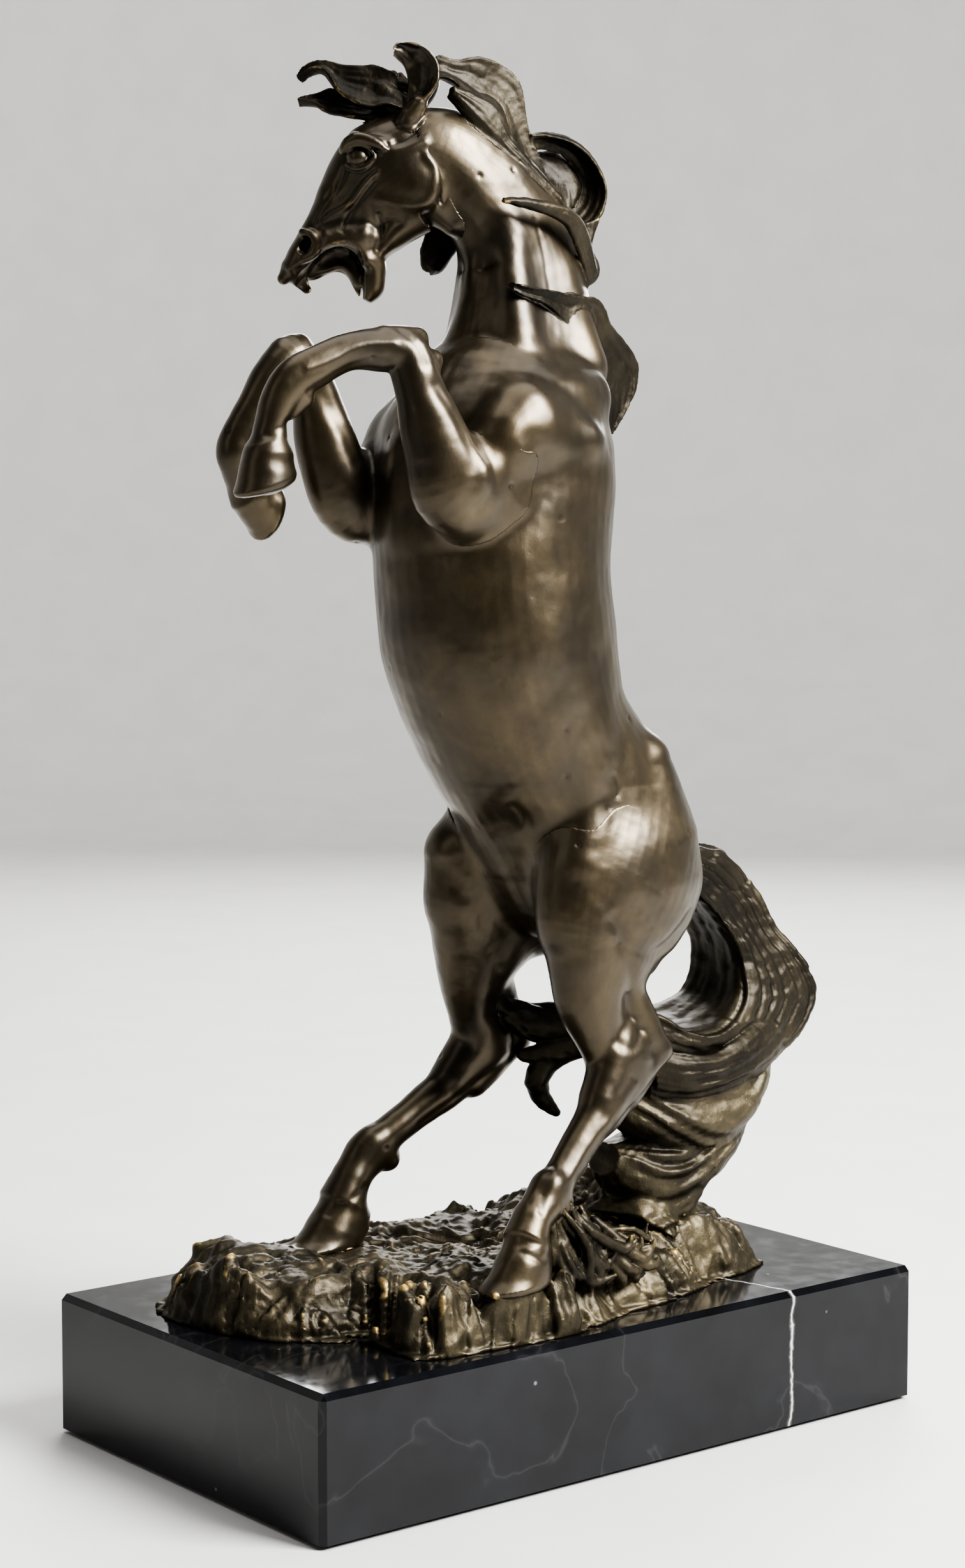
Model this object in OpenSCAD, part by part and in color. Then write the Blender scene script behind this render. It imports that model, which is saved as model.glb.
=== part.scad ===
// Rearing horse: a bronze statuette on a polished black marble plinth.
// Origin at the centre of the bottom face, +X along the plinth, +Z up, millimetres.
// The horse rears towards -X, with its left side towards -Y.

/* [Plinth] */
// Length of the marble block
plinth_length = 267; // [250:1:340]
// Width of the marble block
plinth_width = 161; // [156:1:210]
// Height from the table to the marble's top face
plinth_height = 50; // [40:1:70]
// Chamfer round the top and the upright edges
plinth_chamfer = 2; // [0.5:0.5:4]
// Thickness of the felt glued under the marble
felt_thickness = 1.5; // [1:0.5:3]
// How far the felt stops short of the marble's edges
felt_inset = 4; // [2:1:10]

/* [Fixings] */
// Distance of each fixing stud from the middle, along the plinth
stud_spacing = 52; // [35:1:60]
// Diameter of the fixing studs
stud_diameter = 6; // [4:1:8]
// Play round a stud in the marble
stud_play = 1; // [0.5:0.25:2]
// Depth of the counterbore in the marble's underside
counterbore_depth = 14; // [10:1:20]
// Diameter of the counterbore
counterbore_diameter = 20; // [18:1:26]
// Outside diameter of the bosses under the bronze ground
boss_diameter = 14; // [11:1:18]

/* [Bronze] */
// Overall size of the bronze above the marble
bronze_scale = 1; // [0.75:0.01:1.05]
// How far the barrel swells sideways
barrel_width = 39; // [30:1:46]
// Thickness of the metal in the hollow castings
wall = 5; // [3:0.5:7]
// Height of the bronze ground above the marble, at its middle
ground_height = 18; // [15:1:24]

/* [Hidden] */
// Where the horse's middle plane lies
mid = -20;
// Height of the ground's surface in the horse's own rows
drawn_stand = 68;
// Height of the ground that the rocks are drawn for
drawn_ground = 18;
// Thickness of the metal before the bronze is scaled
metal = wall / bronze_scale;
// Metal over the ground's hollow, whose roof the bosses meet
roof = 8;
boss_height = (ground_height - roof) * bronze_scale;
// Metal left above the stud's thread in a boss
boss_cap = 2;
washer_thickness = 1.5;
washer_play = 0.4;
nut_height = 5;
nut_across = 1.85;
// How far a stud stands out below its nut
stud_end = 2.5;
// Where the studs' middle lies under the bronze
stud_middle = [-12, -10];
round_facets = 48;
// Cuts run this far past the face they open
past = 1;
// The washer bears on the counterbore's end face, and the nut on the washer
seat = felt_thickness + counterbore_depth;
bronze = [0.42, 0.33, 0.20];
dark_bronze = [0.30, 0.25, 0.17];
marble = [0.08, 0.08, 0.09];
steel = [0.62, 0.62, 0.64];
felt = [0.10, 0.22, 0.14];
turn = -37;
head_at = [-36, -10, 0];

// ---- Smooth rows and lofted forms ----

function at(P, i) = P[max(0, min(len(P) - 1, i))];
function blend(a, b, c, d, t) =
  0.5 * (2 * b + (c - a) * t + (2 * a - 5 * b + 4 * c - d) * t * t + (3 * b - a - 3 * c + d) * t * t * t);
function smooth(P, k) = [
  for (i = [0:len(P) - 2])
    for (j = [0:k - 1])
      blend(at(P, i - 1), P[i], P[i + 1], at(P, i + 2), j / k),
  P[len(P) - 1]
];
function xyz(r) = [r[0], r[1], r[2]];
function unit(v) = v / norm(v);
function ring(R, i, m, side) =
  let (
    c = xyz(R[i]),
    t = unit(xyz(at(R, i + 1)) - xyz(at(R, i - 1))),
    s = unit(side - t * (side * t)),
    n = cross(t, s)
  )
  [
    for (j = [0:m - 1])
      let (w = 360 * j / m)
      c + n * R[i][3] * cos(w) + s * R[i][4] * sin(w) * (1 + R[i][5] * cos(w))
  ];

// Each row is x, y, z, half depth, half width and how much wider the underside is than the top.
module loft(P, k = 3, m = 16, side = [0, 1, 0]) {
  R = smooth(P, k);
  n = len(R);
  points = [for (i = [0:n - 1]) each ring(R, i, m, side)];
  walls = [
    for (i = [0:n - 2])
      for (j = [0:m - 1])
        let (a = i * m + j, b = i * m + (j + 1) % m)
        each [[a, b, a + m], [b, b + m, a + m]]
  ];
  start = [for (j = [m - 1:-1:0]) j];
  finish = [for (j = [0:m - 1]) (n - 1) * m + j];
  polyhedron(points = points, faces = concat([start, finish], walls));
}

function thinner(P, w) = [for (r = P) [r[0], r[1], r[2], r[3] - w, r[4] - w, r[5]]];

// A muscle or a bone: a hull round two balls.
module muscle(p, r, q, s, n = 0) {
  m = n > 0 ? n : max(r, s) > 9 ? 10 : 8;
  hull() {
    translate(p) sphere(r = r, $fn = m);
    translate(q) sphere(r = s, $fn = m);
  }
}

// A hoof, from its sole up to the coronet.
module hoof(c, tilt, turn, long, wide, rise, back) {
  translate(c)
    rotate([0, tilt, turn])
      hull() {
        scale([long, wide, 1]) cylinder(h = 1, r = 1, $fn = 14);
        translate([back, 0, rise]) scale([long * 0.6, wide * 0.75, 1]) cylinder(h = 1, r = 1, $fn = 14);
      }
}

// Sets the bronze on the marble.
module casting() {
  translate([0, 0, plinth_height]) scale(bronze_scale) children();
}

// Stands the horse's rows on the ground.
module horse() {
  casting() translate([0, 0, ground_height - drawn_stand]) children();
}

// ---- Forms of the horse ----

TRUNK = [
  [40, mid, 178, 12, 18, 0],
  [36, mid, 186, 24, 27, 0],
  [28, mid, 200, 35, 33, 0],
  [21, mid, 217, 38, 36, 0],
  [10, mid, 233, 37, 37, 0],
  [-1, mid, 248, 37, barrel_width - 1, 0],
  [-8, mid, 264, 39, barrel_width, 0.04],
  [-13, mid, 282, 42, barrel_width + 1, 0.06],
  [-15.5, mid, 300, 42, barrel_width + 0.5, 0.06],
  [-16, mid, 320, 43, barrel_width, 0.04],
  [-14, mid, 342, 43, barrel_width - 1, 0],
  [-10, mid, 360, 39, barrel_width - 5, 0],
  [-5, mid, 376, 29, 24, 0],
  [-3, mid, 386, 18, 14, 0]
];

NECK = [
  [-8, mid, 350, 32, 27, 0.1],
  [-5, -19, 366, 33, 24, 0.15],
  [-2, -19, 382, 30, 19, 0.2],
  [0, -18, 399, 27, 15.5, 0.2],
  [0, -17, 413, 25, 13.5, 0.2],
  [-7, -16, 427, 22.5, 13, 0.15],
  [-19, -14, 439, 19.5, 12.5, 0.1],
  [-32, -11.5, 448, 16, 11, 0],
  [-42, -8, 452, 11, 8, 0]
];

module trunk_forms() {
  loft(TRUNK, 2, 18);
  for (s = [-1, 1]) {
    // Shoulder blade, point of the shoulder and upper arm.
    muscle([8, mid + s * 18, 366], 10, [-26, mid + s * 27, 357], 14);
    muscle([-4, mid + s * 28, 350], 10, [-34, mid + s * 28, 350], 13);
    muscle([-38, mid + s * 12, 352], 14, [-36, mid + s * 18, 336], 12);
    // Point of the hip and the croup.
    muscle([33, mid + s * 24, 240], 8, [34, mid + s * 20, 216], 19);
    muscle([49, mid + s * 12, 206], 14, [36, mid + s * 14, 230], 14);
    // Flank fold that runs down to the stifle.
    muscle([0, mid + s * 28, 240], 7, [0, mid + s * 30, 215], 7);
  }
  // Brisket, sheath and the root of the tail.
  muscle([-48, mid, 345], 10, [-50, mid, 318], 9);
  muscle([-4, mid, 216], 8, [4, mid + 2, 196], 7);
  muscle([52, mid, 206], 12, [60, mid, 200], 8);
}

module neck_forms() {
  loft(NECK, 2, 16);
  // Windpipe and the muscle beside it.
  muscle([-20, -17, 420], 4, [-23, -18, 394], 5);
  muscle([-23, -18, 394], 5, [-33, -19, 366], 7);
  for (s = [-1, 1]) {
    muscle([-14, -16 + s * 7, 424], 5, [-16, -19 + s * 13, 382], 8);
    muscle([8, -18 + s * 6, 406], 6, [14, -20 + s * 13, 376], 9);
  }
}

module hind_left_forms() {
  loft([
    [34, -34, 226, 22, 12, 0],
    [27, -41, 212, 32, 19, 0],
    [20, -44, 198, 35, 20, 0],
    [12, -46, 183, 30, 17.5, 0],
    [8, -47, 170, 22, 14.5, 0],
    [5, -48, 158, 14.5, 10.5, 0],
    [9, -49.5, 146, 11.5, 8.5, 0],
    [16, -51.5, 135, 12.5, 8.5, 0],
    [8, -53.5, 123, 9.5, 7.5, 0],
    [-6, -56, 111, 6.8, 6, 0],
    [-17, -58, 101, 6.2, 5.6, 0],
    [-25, -60, 94, 7.6, 6.8, 0],
    [-33, -62, 88, 6, 6, 0],
    [-38, -64, 82, 7, 7, 0]
  ], 2, 12);
  // Stifle, buttock, second thigh, the hock's point and its tendon, and the fetlock.
  muscle([-2, -48, 204], 10, [4, -46, 186], 11);
  muscle([44, -38, 196], 16, [30, -42, 180], 14);
  muscle([0, -50, 172], 9, [6, -50, 156], 7);
  muscle([19, -49, 160], 7, [31, -52, 138], 5.5);
  muscle([33, -52, 137], 4.5, [16, -53, 124], 6);
  muscle([12, -52, 138], 8, [4, -54, 124], 7);
  muscle([-20, -60, 92], 5, [-24, -60, 98], 6);
  muscle([30, -46, 168], 5, [16, -48, 172], 10);
  hoof([-43, -66, 66], -4, 4, 14, 9.5, 15, 5);
}

module hind_right_forms() {
  loft([
    [32, -6, 226, 22, 12, 0],
    [22, 1, 212, 32, 19, 0],
    [13, 4, 198, 35, 20, 0],
    [5, 7, 183, 29, 17.5, 0],
    [1, 9, 170, 20, 14.5, 0],
    [-1, 11, 157, 13, 10.5, 0],
    [1, 12.5, 145, 10, 8.2, 0],
    [5, 14, 133, 11.5, 8.5, 0],
    [-7, 15.5, 121, 8.5, 7.2, 0],
    [-20, 17, 113, 6.8, 6.2, 0],
    [-33, 18.5, 105, 6.6, 6, 0],
    [-42, 20, 98, 8.4, 7, 0],
    [-49, 20, 90, 6, 6, 0],
    [-53, 20, 83, 7.5, 7.5, 0]
  ], 2, 12);
  muscle([-13, 7, 206], 10, [-9, 7, 190], 12);
  muscle([36, 0, 196], 16, [22, 4, 180], 14);
  muscle([-6, 10, 172], 9, [-2, 11, 156], 7);
  muscle([9, 11.5, 158], 7, [20, 14, 134], 5.5);
  muscle([22, 14, 133], 4.5, [2, 15, 120], 6);
  muscle([1, 14, 136], 7.5, [-8, 15, 123], 7);
  muscle([-34, 19, 96], 5, [-40, 19, 102], 6);
  muscle([-60, 20, 88], 3, [-64, 19, 91], 2.5);
  hoof([-58, 20, 66], -4, 0, 17, 10.5, 15, 6);
}

module fore_left_forms() {
  loft([
    [-22, -44, 342, 14, 8, 0],
    [-42, -46, 332, 15, 10, 0],
    [-56, -47, 332, 13.5, 10.5, 0],
    [-61, -47, 344, 12, 10.5, 0],
    [-65, -46, 357, 9.8, 9, 0],
    [-68.5, -45, 368, 8, 7.6, 0],
    [-72, -43, 377, 8, 7.8, 0],
    [-81, -40, 378, 7.2, 7.2, 0],
    [-91, -38, 377, 6.2, 5.8, 0],
    [-101, -36, 372.5, 6.6, 5.6, 0],
    [-110, -33, 366.5, 6.8, 6, 0],
    [-115, -31, 358, 5.6, 5.6, 0],
    [-116.5, -30, 350, 4.4, 4.8, 0],
    [-117, -30, 344, 7, 6.8, 0]
  ], 2, 12);
  // Elbow, forearm muscle, knee and fetlock.
  muscle([-50, -45, 325], 7, [-36, -46, 330], 10);
  muscle([-53, -50, 338], 10, [-64, -48, 356], 7);
  muscle([-67, -43, 382], 4, [-78, -41, 382], 4);
  muscle([-62, -44, 375], 4, [-66, -44, 367], 5);
  muscle([-106, -33, 362], 4, [-109, -32, 358], 3);
  muscle([-30, -47, 350], 12, [-48, -47, 334], 11);
  hoof([-118, -30, 332], -18, 4, 12, 9, 12, 3);
}

module fore_right_forms() {
  loft([
    [-26, 4, 340, 14, 8, 0],
    [-46, 6, 330, 14, 10, 0],
    [-59, 6, 329, 12, 10.5, 0],
    [-65, 7, 340, 11, 10.5, 0],
    [-68, 8, 351, 10.6, 9.6, 0],
    [-70.5, 8, 362, 9, 8, 0],
    [-75, 8, 372, 7.8, 7.6, 0],
    [-82, 7, 378, 7.2, 7.4, 0],
    [-90, 8, 371, 6.2, 6.2, 0],
    [-95, 10, 361, 6, 5.6, 0],
    [-99.5, 12, 352, 6.2, 5.8, 0],
    [-100.5, 13, 345, 7, 6.4, 0],
    [-97, 14, 338, 5.8, 5.6, 0],
    [-93, 14, 332, 8, 7.2, 0]
  ], 2, 12);
  muscle([-57, 5, 323], 7, [-42, 6, 328], 10);
  muscle([-60, 9, 336], 10, [-68, 9, 354], 8);
  muscle([-79, 7, 382], 4, [-85, 7, 380], 4);
  muscle([-74, 7, 373], 5, [-71, 8, 366], 5);
  muscle([-95, 12, 346], 4, [-94, 12, 349], 3);
  muscle([-32, 7, 350], 12, [-50, 7, 334], 11);
  hoof([-86.5, 14, 325], -74, 8, 10.5, 9, 10, 3);
}

// ---- Head, in its own upright plane: local -X is the way it faces ----

module head_frame() {
  translate(head_at) rotate([0, 0, turn]) children();
}

module head_forms() {
  head_frame() {
    loft([
      [6, 0, 452, 9, 7, 0],
      [0, 0, 449, 14, 10.5, 0],
      [-7, 0, 445.5, 17, 12.5, 0.05],
      [-14, 0, 440.5, 18.5, 13, 0.05],
      [-21, 0, 435, 16.5, 11, 0],
      [-28, 0, 428.5, 12, 8.5, 0],
      [-34, 0, 422.5, 8.8, 7, 0],
      [-40, 0, 416.5, 6.6, 7, 0],
      [-45, 0, 411.5, 5.2, 6.6, 0],
      [-48.5, 0, 408, 3, 4.5, 0]
    ], 2, 12);
    for (s = [-1, 1]) {
      // Jowl, brow, cheek bone and the flared nostril.
      muscle([-2, s * 7, 438], 7, [-10, s * 6.5, 433], 7);
      muscle([-16, s * 9.5, 451], 4, [-26, s * 8, 451], 4);
      muscle([-14, s * 10, 445], 3, [-32, s * 6, 430], 2.5);
      muscle([-41, s * 5, 418.5], 3, [-45, s * 5, 415], 3);
    }
    // Upper lip, lower jaw, chin and lower lip.
    muscle([-48, 0, 408], 4, [-50.5, 0, 405], 2);
    muscle([-47, 0, 407], 3.5, [-43.5, 1, 402.5], 1.8);
    loft([
      [-8, 0, 427, 9, 9, 0],
      [-13, 0, 421, 6.5, 7.5, 0],
      [-17.5, 0, 415, 4.5, 6.4, 0],
      [-19.5, 0, 408, 4.2, 6, 0],
      [-20, 0, 402, 4.6, 5.4, 0],
      [-22, 0, 397.5, 2, 3, 0]
    ], 2, 10);
    // The far cheek's skin between the jaws.
    muscle([-43, 3, 407], 2.5, [-34, 3, 412], 4);
    muscle([-34, 3, 412], 4, [-25, 3, 411], 5);
    muscle([-25, 3, 411], 4, [-22, 3, 402], 2.5);
  }
}

// ---- Nodes: base and fixings ----

module stud_places() {
  for (s = [-1, 1])
    translate([stud_middle[0] + s * stud_spacing, stud_middle[1], 0]) children();
}

module plinth() {
  l = plinth_length;
  w = plinth_width;
  c = plinth_chamfer;
  color(marble)
    difference() {
      hull() {
        translate([-l / 2, -w / 2 + c, felt_thickness])
          cube([l, w - 2 * c, plinth_height - felt_thickness - c]);
        translate([-l / 2 + c, -w / 2, felt_thickness])
          cube([l - 2 * c, w, plinth_height - felt_thickness - c]);
        translate([-l / 2 + c, -w / 2 + c, felt_thickness])
          cube([l - 2 * c, w - 2 * c, plinth_height - felt_thickness]);
      }
      // Through holes with a counterbore for the washer and nut.
      stud_places() {
        cylinder(h = plinth_height + past, d = stud_diameter + stud_play, $fn = round_facets);
        cylinder(h = seat, d = counterbore_diameter, $fn = round_facets);
      }
    }
}

module felt_base() {
  color(felt)
    translate([-plinth_length / 2 + felt_inset, -plinth_width / 2 + felt_inset, 0])
      cube([plinth_length - 2 * felt_inset, plinth_width - 2 * felt_inset, felt_thickness]);
}

module studs() {
  foot = seat - washer_thickness - nut_height - stud_end;
  color(steel)
    stud_places()
      translate([0, 0, foot])
        cylinder(
          h = plinth_height + boss_height - boss_cap - past - foot,
          d = stud_diameter, $fn = round_facets);
}

module washers() {
  color(steel)
    stud_places()
      translate([0, 0, seat - washer_thickness])
        difference() {
          cylinder(h = washer_thickness, d = counterbore_diameter - 2, $fn = round_facets);
          translate([0, 0, -past])
            cylinder(h = washer_thickness + 2 * past, d = stud_diameter + washer_play, $fn = round_facets);
        }
}

module nuts() {
  color(steel)
    stud_places()
      translate([0, 0, seat - washer_thickness - nut_height])
        difference() {
          cylinder(h = nut_height, d = stud_diameter * nut_across, $fn = 6);
          translate([0, 0, -past])
            cylinder(h = nut_height + 2 * past, d = stud_diameter, $fn = round_facets);
        }
}

// Turned bosses brazed to the roof of the ground's hollow.
module bosses() {
  color(bronze)
    stud_places()
      translate([0, 0, plinth_height])
        difference() {
          cylinder(h = boss_height, d = boss_diameter, $fn = round_facets);
          translate([0, 0, -past])
            cylinder(h = boss_height + past - boss_cap, d = stud_diameter, $fn = round_facets);
        }
}

// ---- Nodes: the bronze ground ----

// The outline where the bronze meets the marble.
EDGE = [
  [97, -18], [92, 12], [72, 32], [40, 42], [0, 46], [-40, 50], [-80, 52], [-108, 50],
  [-121, 36], [-122, 12], [-112, -20], [-86, -42], [-88, -68], [-60, -74], [-24, -76], [8, -66],
  [30, -64], [60, -54], [90, -46]
];
MIDDLE = [-14, -12];
function lump(x, y) = 2.2 * sin(7 * x + 40) * cos(9 * y) + 1.4 * sin(13 * x - 11 * y);
function shelf(f) = f > 0.97 ? 0 : f > 0.9 ? 0.55 : f > 0.78 ? 0.9 : 1;
// The far left and the right end stand higher than the middle.
function mound(x, y, cx, cy, rx, ry) = exp(-pow((x - cx) / rx, 2) - pow((y - cy) / ry, 2));
function rise(x, y) =
  ground_height + 7 * mound(x, y, -104, 22, 22, 22) + 15 * mound(x, y, 52, -6, 33, 30)
  - 3 * mound(x, y, -20, 0, 30, 22);

module ground_skin() {
  R = smooth([each EDGE, EDGE[0]], 2);
  m = len(R) - 1;
  F = [1, 0.97, 0.92, 0.8, 0.62, 0.42, 0.2];
  n = len(F);
  tops = [
    for (i = [0:n - 1])
      for (j = [0:m - 1])
        let (p = MIDDLE + (R[j] - MIDDLE) * F[i])
        [p[0], p[1], i == 0 ? 0 : shelf(F[i]) * rise(p[0], p[1]) + lump(p[0], p[1])]
  ];
  points = [each tops, [MIDDLE[0], MIDDLE[1], ground_height - 2]];
  walls = [
    for (i = [0:n - 2])
      for (j = [0:m - 1])
        let (a = i * m + j, b = i * m + (j + 1) % m)
        each [[a, a + m, b], [b, a + m, b + m]]
  ];
  cap = [for (j = [0:m - 1]) [(n - 1) * m + j, n * m, (n - 1) * m + (j + 1) % m]];
  polyhedron(points = points, faces = concat([[for (j = [0:m - 1]) j]], walls, cap));
}

// A broken block of rock, cut off flat where it meets the marble.
module crag(p, r, seed) {
  a = rands(-1, 1, 18, seed);
  intersection() {
    translate([p[0], p[1], p[2] * ground_height / drawn_ground])
      hull()
        for (i = [0:5])
          translate([a[3 * i] * r[0], a[3 * i + 1] * r[1], a[3 * i + 2] * r[2]])
            cube(1.2, center = true);
    translate([-200, -200, 0]) cube([400, 400, 100]);
  }
}

// Middle, half size and seed of each rock.
CRAGS = [
  [[-106, 24, 12], [15, 15, 15], 3], [[-92, 40, 10], [14, 12, 12], 4], [[-106, 0, 8], [12, 14, 11], 5],
  [[-98, -20, 6], [11, 10, 12], 6], [[-82, -56, 10], [8, 13, 16], 7], [[-70, -66, 12], [10, 8, 15], 8],
  [[-50, -66, 10], [10, 8, 13], 9], [[-26, -66, 10], [12, 9, 12], 10], [[0, -58, 8], [12, 9, 12], 11],
  [[26, -54, 10], [12, 10, 12], 12], [[54, -46, 10], [12, 9, 13], 13], [[80, -36, 8], [13, 11, 12], 14],
  [[86, -8, 10], [10, 14, 11], 15], [[60, 22, 10], [16, 12, 12], 16], [[20, 34, 10], [18, 12, 12], 17],
  [[-30, 40, 8], [18, 10, 10], 18], [[-64, 42, 8], [16, 10, 11], 19], [[38, -8, 24], [18, 14, 12], 20]
];

module ground_forms() {
  ground_skin();
  for (c = CRAGS)
    crag(c[0], c[1], c[2]);
}

module ground() {
  color(dark_bronze)
    difference() {
      casting() ground_forms();
      // Hollow underneath, open to the marble.
      casting()
        hull()
          for (p = [[-92, 24], [-92, -10], [-70, -48], [0, -50], [62, -36], [66, 6], [-20, 26]])
            translate([p[0], p[1], -past]) cylinder(h = ground_height - roof + past, r = 8, $fn = 12);
    }
}

// Wind-blown grass beside the near hind hoof.
module grass() {
  color(dark_bronze)
    difference() {
      horse() {
        for (i = [0:7]) {
          a = 30 + 30 * i;
          b = 3 * sin(97 * i);
          muscle([-20 + 5 * i, -58 - b, 70], 5, [-16 + 3 * i + 8 * cos(a), -60 + 3 * sin(a), 88 + b], 1.6, 6);
        }
        muscle([-24, -60, 94], 4, [-8, -62, 74], 6);
        muscle([-12, -56, 76], 8, [26, -50, 68], 9);
      }
      casting() ground_forms();
      horse() hind_left_forms();
    }
}

// ---- Nodes: the horse ----

module torso() {
  color(bronze)
    difference() {
      horse() trunk_forms();
      horse() loft(thinner(TRUNK, metal), 1, 12);
      horse() loft(thinner(NECK, metal), 1, 12);
    }
}

module neck() {
  color(bronze)
    difference() {
      horse() neck_forms();
      horse() trunk_forms();
      horse() head_forms();
      horse() loft(thinner(NECK, metal), 1, 12);
    }
}

module head() {
  color(bronze)
    difference() {
      horse() head_forms();
      horse() head_frame() muscle([-22, -14, 447.5], 3.2, [-25.5, -13.5, 447], 2.4);
      horse() head_frame() muscle([-45, -9.5, 414.5], 2.4, [-43.5, -9, 417], 1.6, 8);
      horse() head_frame() muscle([-45, 9.5, 414.5], 2.4, [-43.5, 9, 417], 1.6, 8);
    }
}

// An ear, cupped towards the front.
module ear(s, tip) {
  head_frame()
    difference() {
      union() {
        loft([
          [-4, s * 6, 458, 3.5, 3.5, 0],
          [-1, s * 7, 465, 4.5, 4, 0],
          [2, s * 7.5, 472, 6, 3.6, 0],
          [1.5, s * 7.5, 478, 5, 3, 0],
          [-3, s * 7, 482, 3.4, 2.4, 0],
          [tip, s * 6, 483, 1.2, 1.2, 0]
        ], 2, 10);
        muscle([-3, s * 6, 458], 4, [-1, s * 7, 464], 4, 8);
      }
      for (i = [0:3])
        muscle([-8 + i, s * 7.5, 466 + 3 * i], 3.4, [-7 + i, s * 7.5, 469 + 3 * i], 3.4);
    }
}

module ear_left() {
  color(bronze)
    difference() {
      horse() ear(-1, -11);
      horse() head_forms();
      horse() neck_forms();
    }
}

module ear_right() {
  color(bronze)
    difference() {
      horse() ear(1, -9);
      horse() head_forms();
      horse() neck_forms();
    }
}

module forelock() {
  color(dark_bronze)
    difference() {
      horse() head_frame() {
        loft([[-6, 1, 461, 3, 3, 0], [-16, 0, 467, 6, 3, 0], [-26, -1, 471, 6.5, 2.6, 0],
          [-34, -1, 474.5, 4, 2.2, 0], [-39, 0, 476.5, 2, 1.8, 0], [-45, 1, 473, 0.8, 0.8, 0]], 2, 10);
        loft([[-12, 1, 460, 3, 3, 0], [-22, 1, 461.5, 4, 2.8, 0], [-31, 2, 463, 3.6, 2.2, 0],
          [-38, 2, 465.5, 2.4, 1.8, 0], [-44.5, 2, 466, 0.8, 0.8, 0]], 2, 10);
        muscle([-8, 0, 464], 4, [-14, 0, 472], 3, 8);
        muscle([-14, 0, 472], 3, [-19, 0, 475.5], 1.6, 8);
        muscle([-14, -3, 462], 3, [-26, -3, 468], 2, 8);
        muscle([-26, -3, 468], 2, [-33, -2, 476], 1.2, 8);
        muscle([-16, 3, 465], 3, [-30, 3, 466], 2, 8);
        muscle([-30, 3, 466], 2, [-37, 2, 471], 1.4, 8);
        muscle([-8, 0, 462], 4, [-18, 0, 461], 3, 8);
        muscle([-10, -4, 462], 2, [-20, -3, 472], 1.6, 8);
      }
      horse() head_forms();
      horse() ear(-1, -11);
      horse() ear(1, -9);
    }
}

// A strand of hair lying along a row of points.
module strand(P, r, n = 6) {
  for (i = [0:len(P) - 2])
    muscle(P[i], r * (1 - 0.6 * i / len(P)), P[i + 1], r * (1 - 0.6 * (i + 1) / len(P)), n);
}

CREST = [
  [-36, -15, 473, 3, 2, 0], [-29, -16, 475, 6, 2.6, 0], [-20, -16, 475, 7, 3, 0], [-11, -16, 471, 7.5, 3, 0],
  [-4, -16, 464, 6, 3, 0], [0, -16, 456, 4.5, 3.4, 0], [6, -16, 447, 3, 3, 0]
];

module crest_forms() {
  loft(CREST, 2, 12);
  strand([[-32, -15, 470], [-24, -18, 466], [-12, -20, 458], [0, -21, 450]], 3);
  strand([[-26, -16, 468], [-14, -19, 464], [-4, -20, 456], [6, -20, 446]], 3);
  strand([[-22, -14, 464], [-10, -15, 456], [2, -16, 448], [12, -17, 441]], 4);
}

module mane_crest() {
  color(dark_bronze)
    difference() {
      horse() crest_forms();
      horse() neck_forms();
      horse() head_forms();
      horse() ear(-1, -11);
    }
}

module ridge_forms() {
  strand([[-15, -29, 432], [-4, -30, 430], [6, -30, 431], [15, -28, 428], [22, -25, 420]], 3);
  strand([[0, -29, 428], [10, -29, 425], [19, -26, 418], [26, -23, 409]], 3);
  strand([[20, -23, 420], [26, -20, 412], [31, -18, 409]], 4);
}

module mane_curl() {
  color(dark_bronze)
    difference() {
      horse() {
        loft([[4, -14, 447, 4, 3, 0], [12, -12, 451, 5, 4, 0], [23, -11, 451, 5, 6, 0],
          [32, -10, 447, 5, 8, 0], [36.5, -10, 440, 4.6, 8, 0], [35, -10, 431, 5, 7, 0],
          [26, -12, 428, 4, 5, 0], [16, -14, 430, 3, 3, 0]], 2, 12);
        // The back of the cup.
        muscle([20, -6, 444], 4, [32, -5, 438], 4, 8);
        muscle([12, -8, 444], 4, [22, -6, 434], 4, 8);
        strand([[8, -14, 446], [16, -12, 440], [24, -12, 430]], 3);
        strand([[36, -12, 430], [34, -14, 422], [30, -16, 414]], 3.4);
        strand([[28, -14, 428], [30, -16, 420], [30, -17, 412]], 3.4);
      }
      horse() neck_forms();
      horse() crest_forms();
      horse() ridge_forms();
    }
}

module mane_ridge() {
  color(dark_bronze)
    difference() {
      horse() ridge_forms();
      horse() neck_forms();
    }
}

module mane_shoulder() {
  color(dark_bronze)
    difference() {
      horse() {
        loft([[-14, -33, 404, 1.4, 1.4, 0], [-2, -34, 401, 3, 2.4, 0], [10, -32, 399, 4, 3, 0],
          [22, -29, 396, 6, 3.4, 0], [32, -25, 389, 9, 3.4, 0], [37, -22, 378, 11, 3.4, 0],
          [38, -21, 367, 10, 3.4, 0], [36, -21, 358, 5, 3, 0], [35, -21, 353, 1.5, 1.5, 0]], 2, 12);
        strand([[10, -32, 400], [22, -29, 401], [33, -25, 399]], 2.4);
        strand([[18, -26, 394], [22, -24, 380], [28, -22, 366]], 4);
        strand([[16, -26, 388], [20, -26, 374], [28, -24, 360]], 4);
      }
      horse() neck_forms();
      horse() trunk_forms();
    }
}

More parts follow.
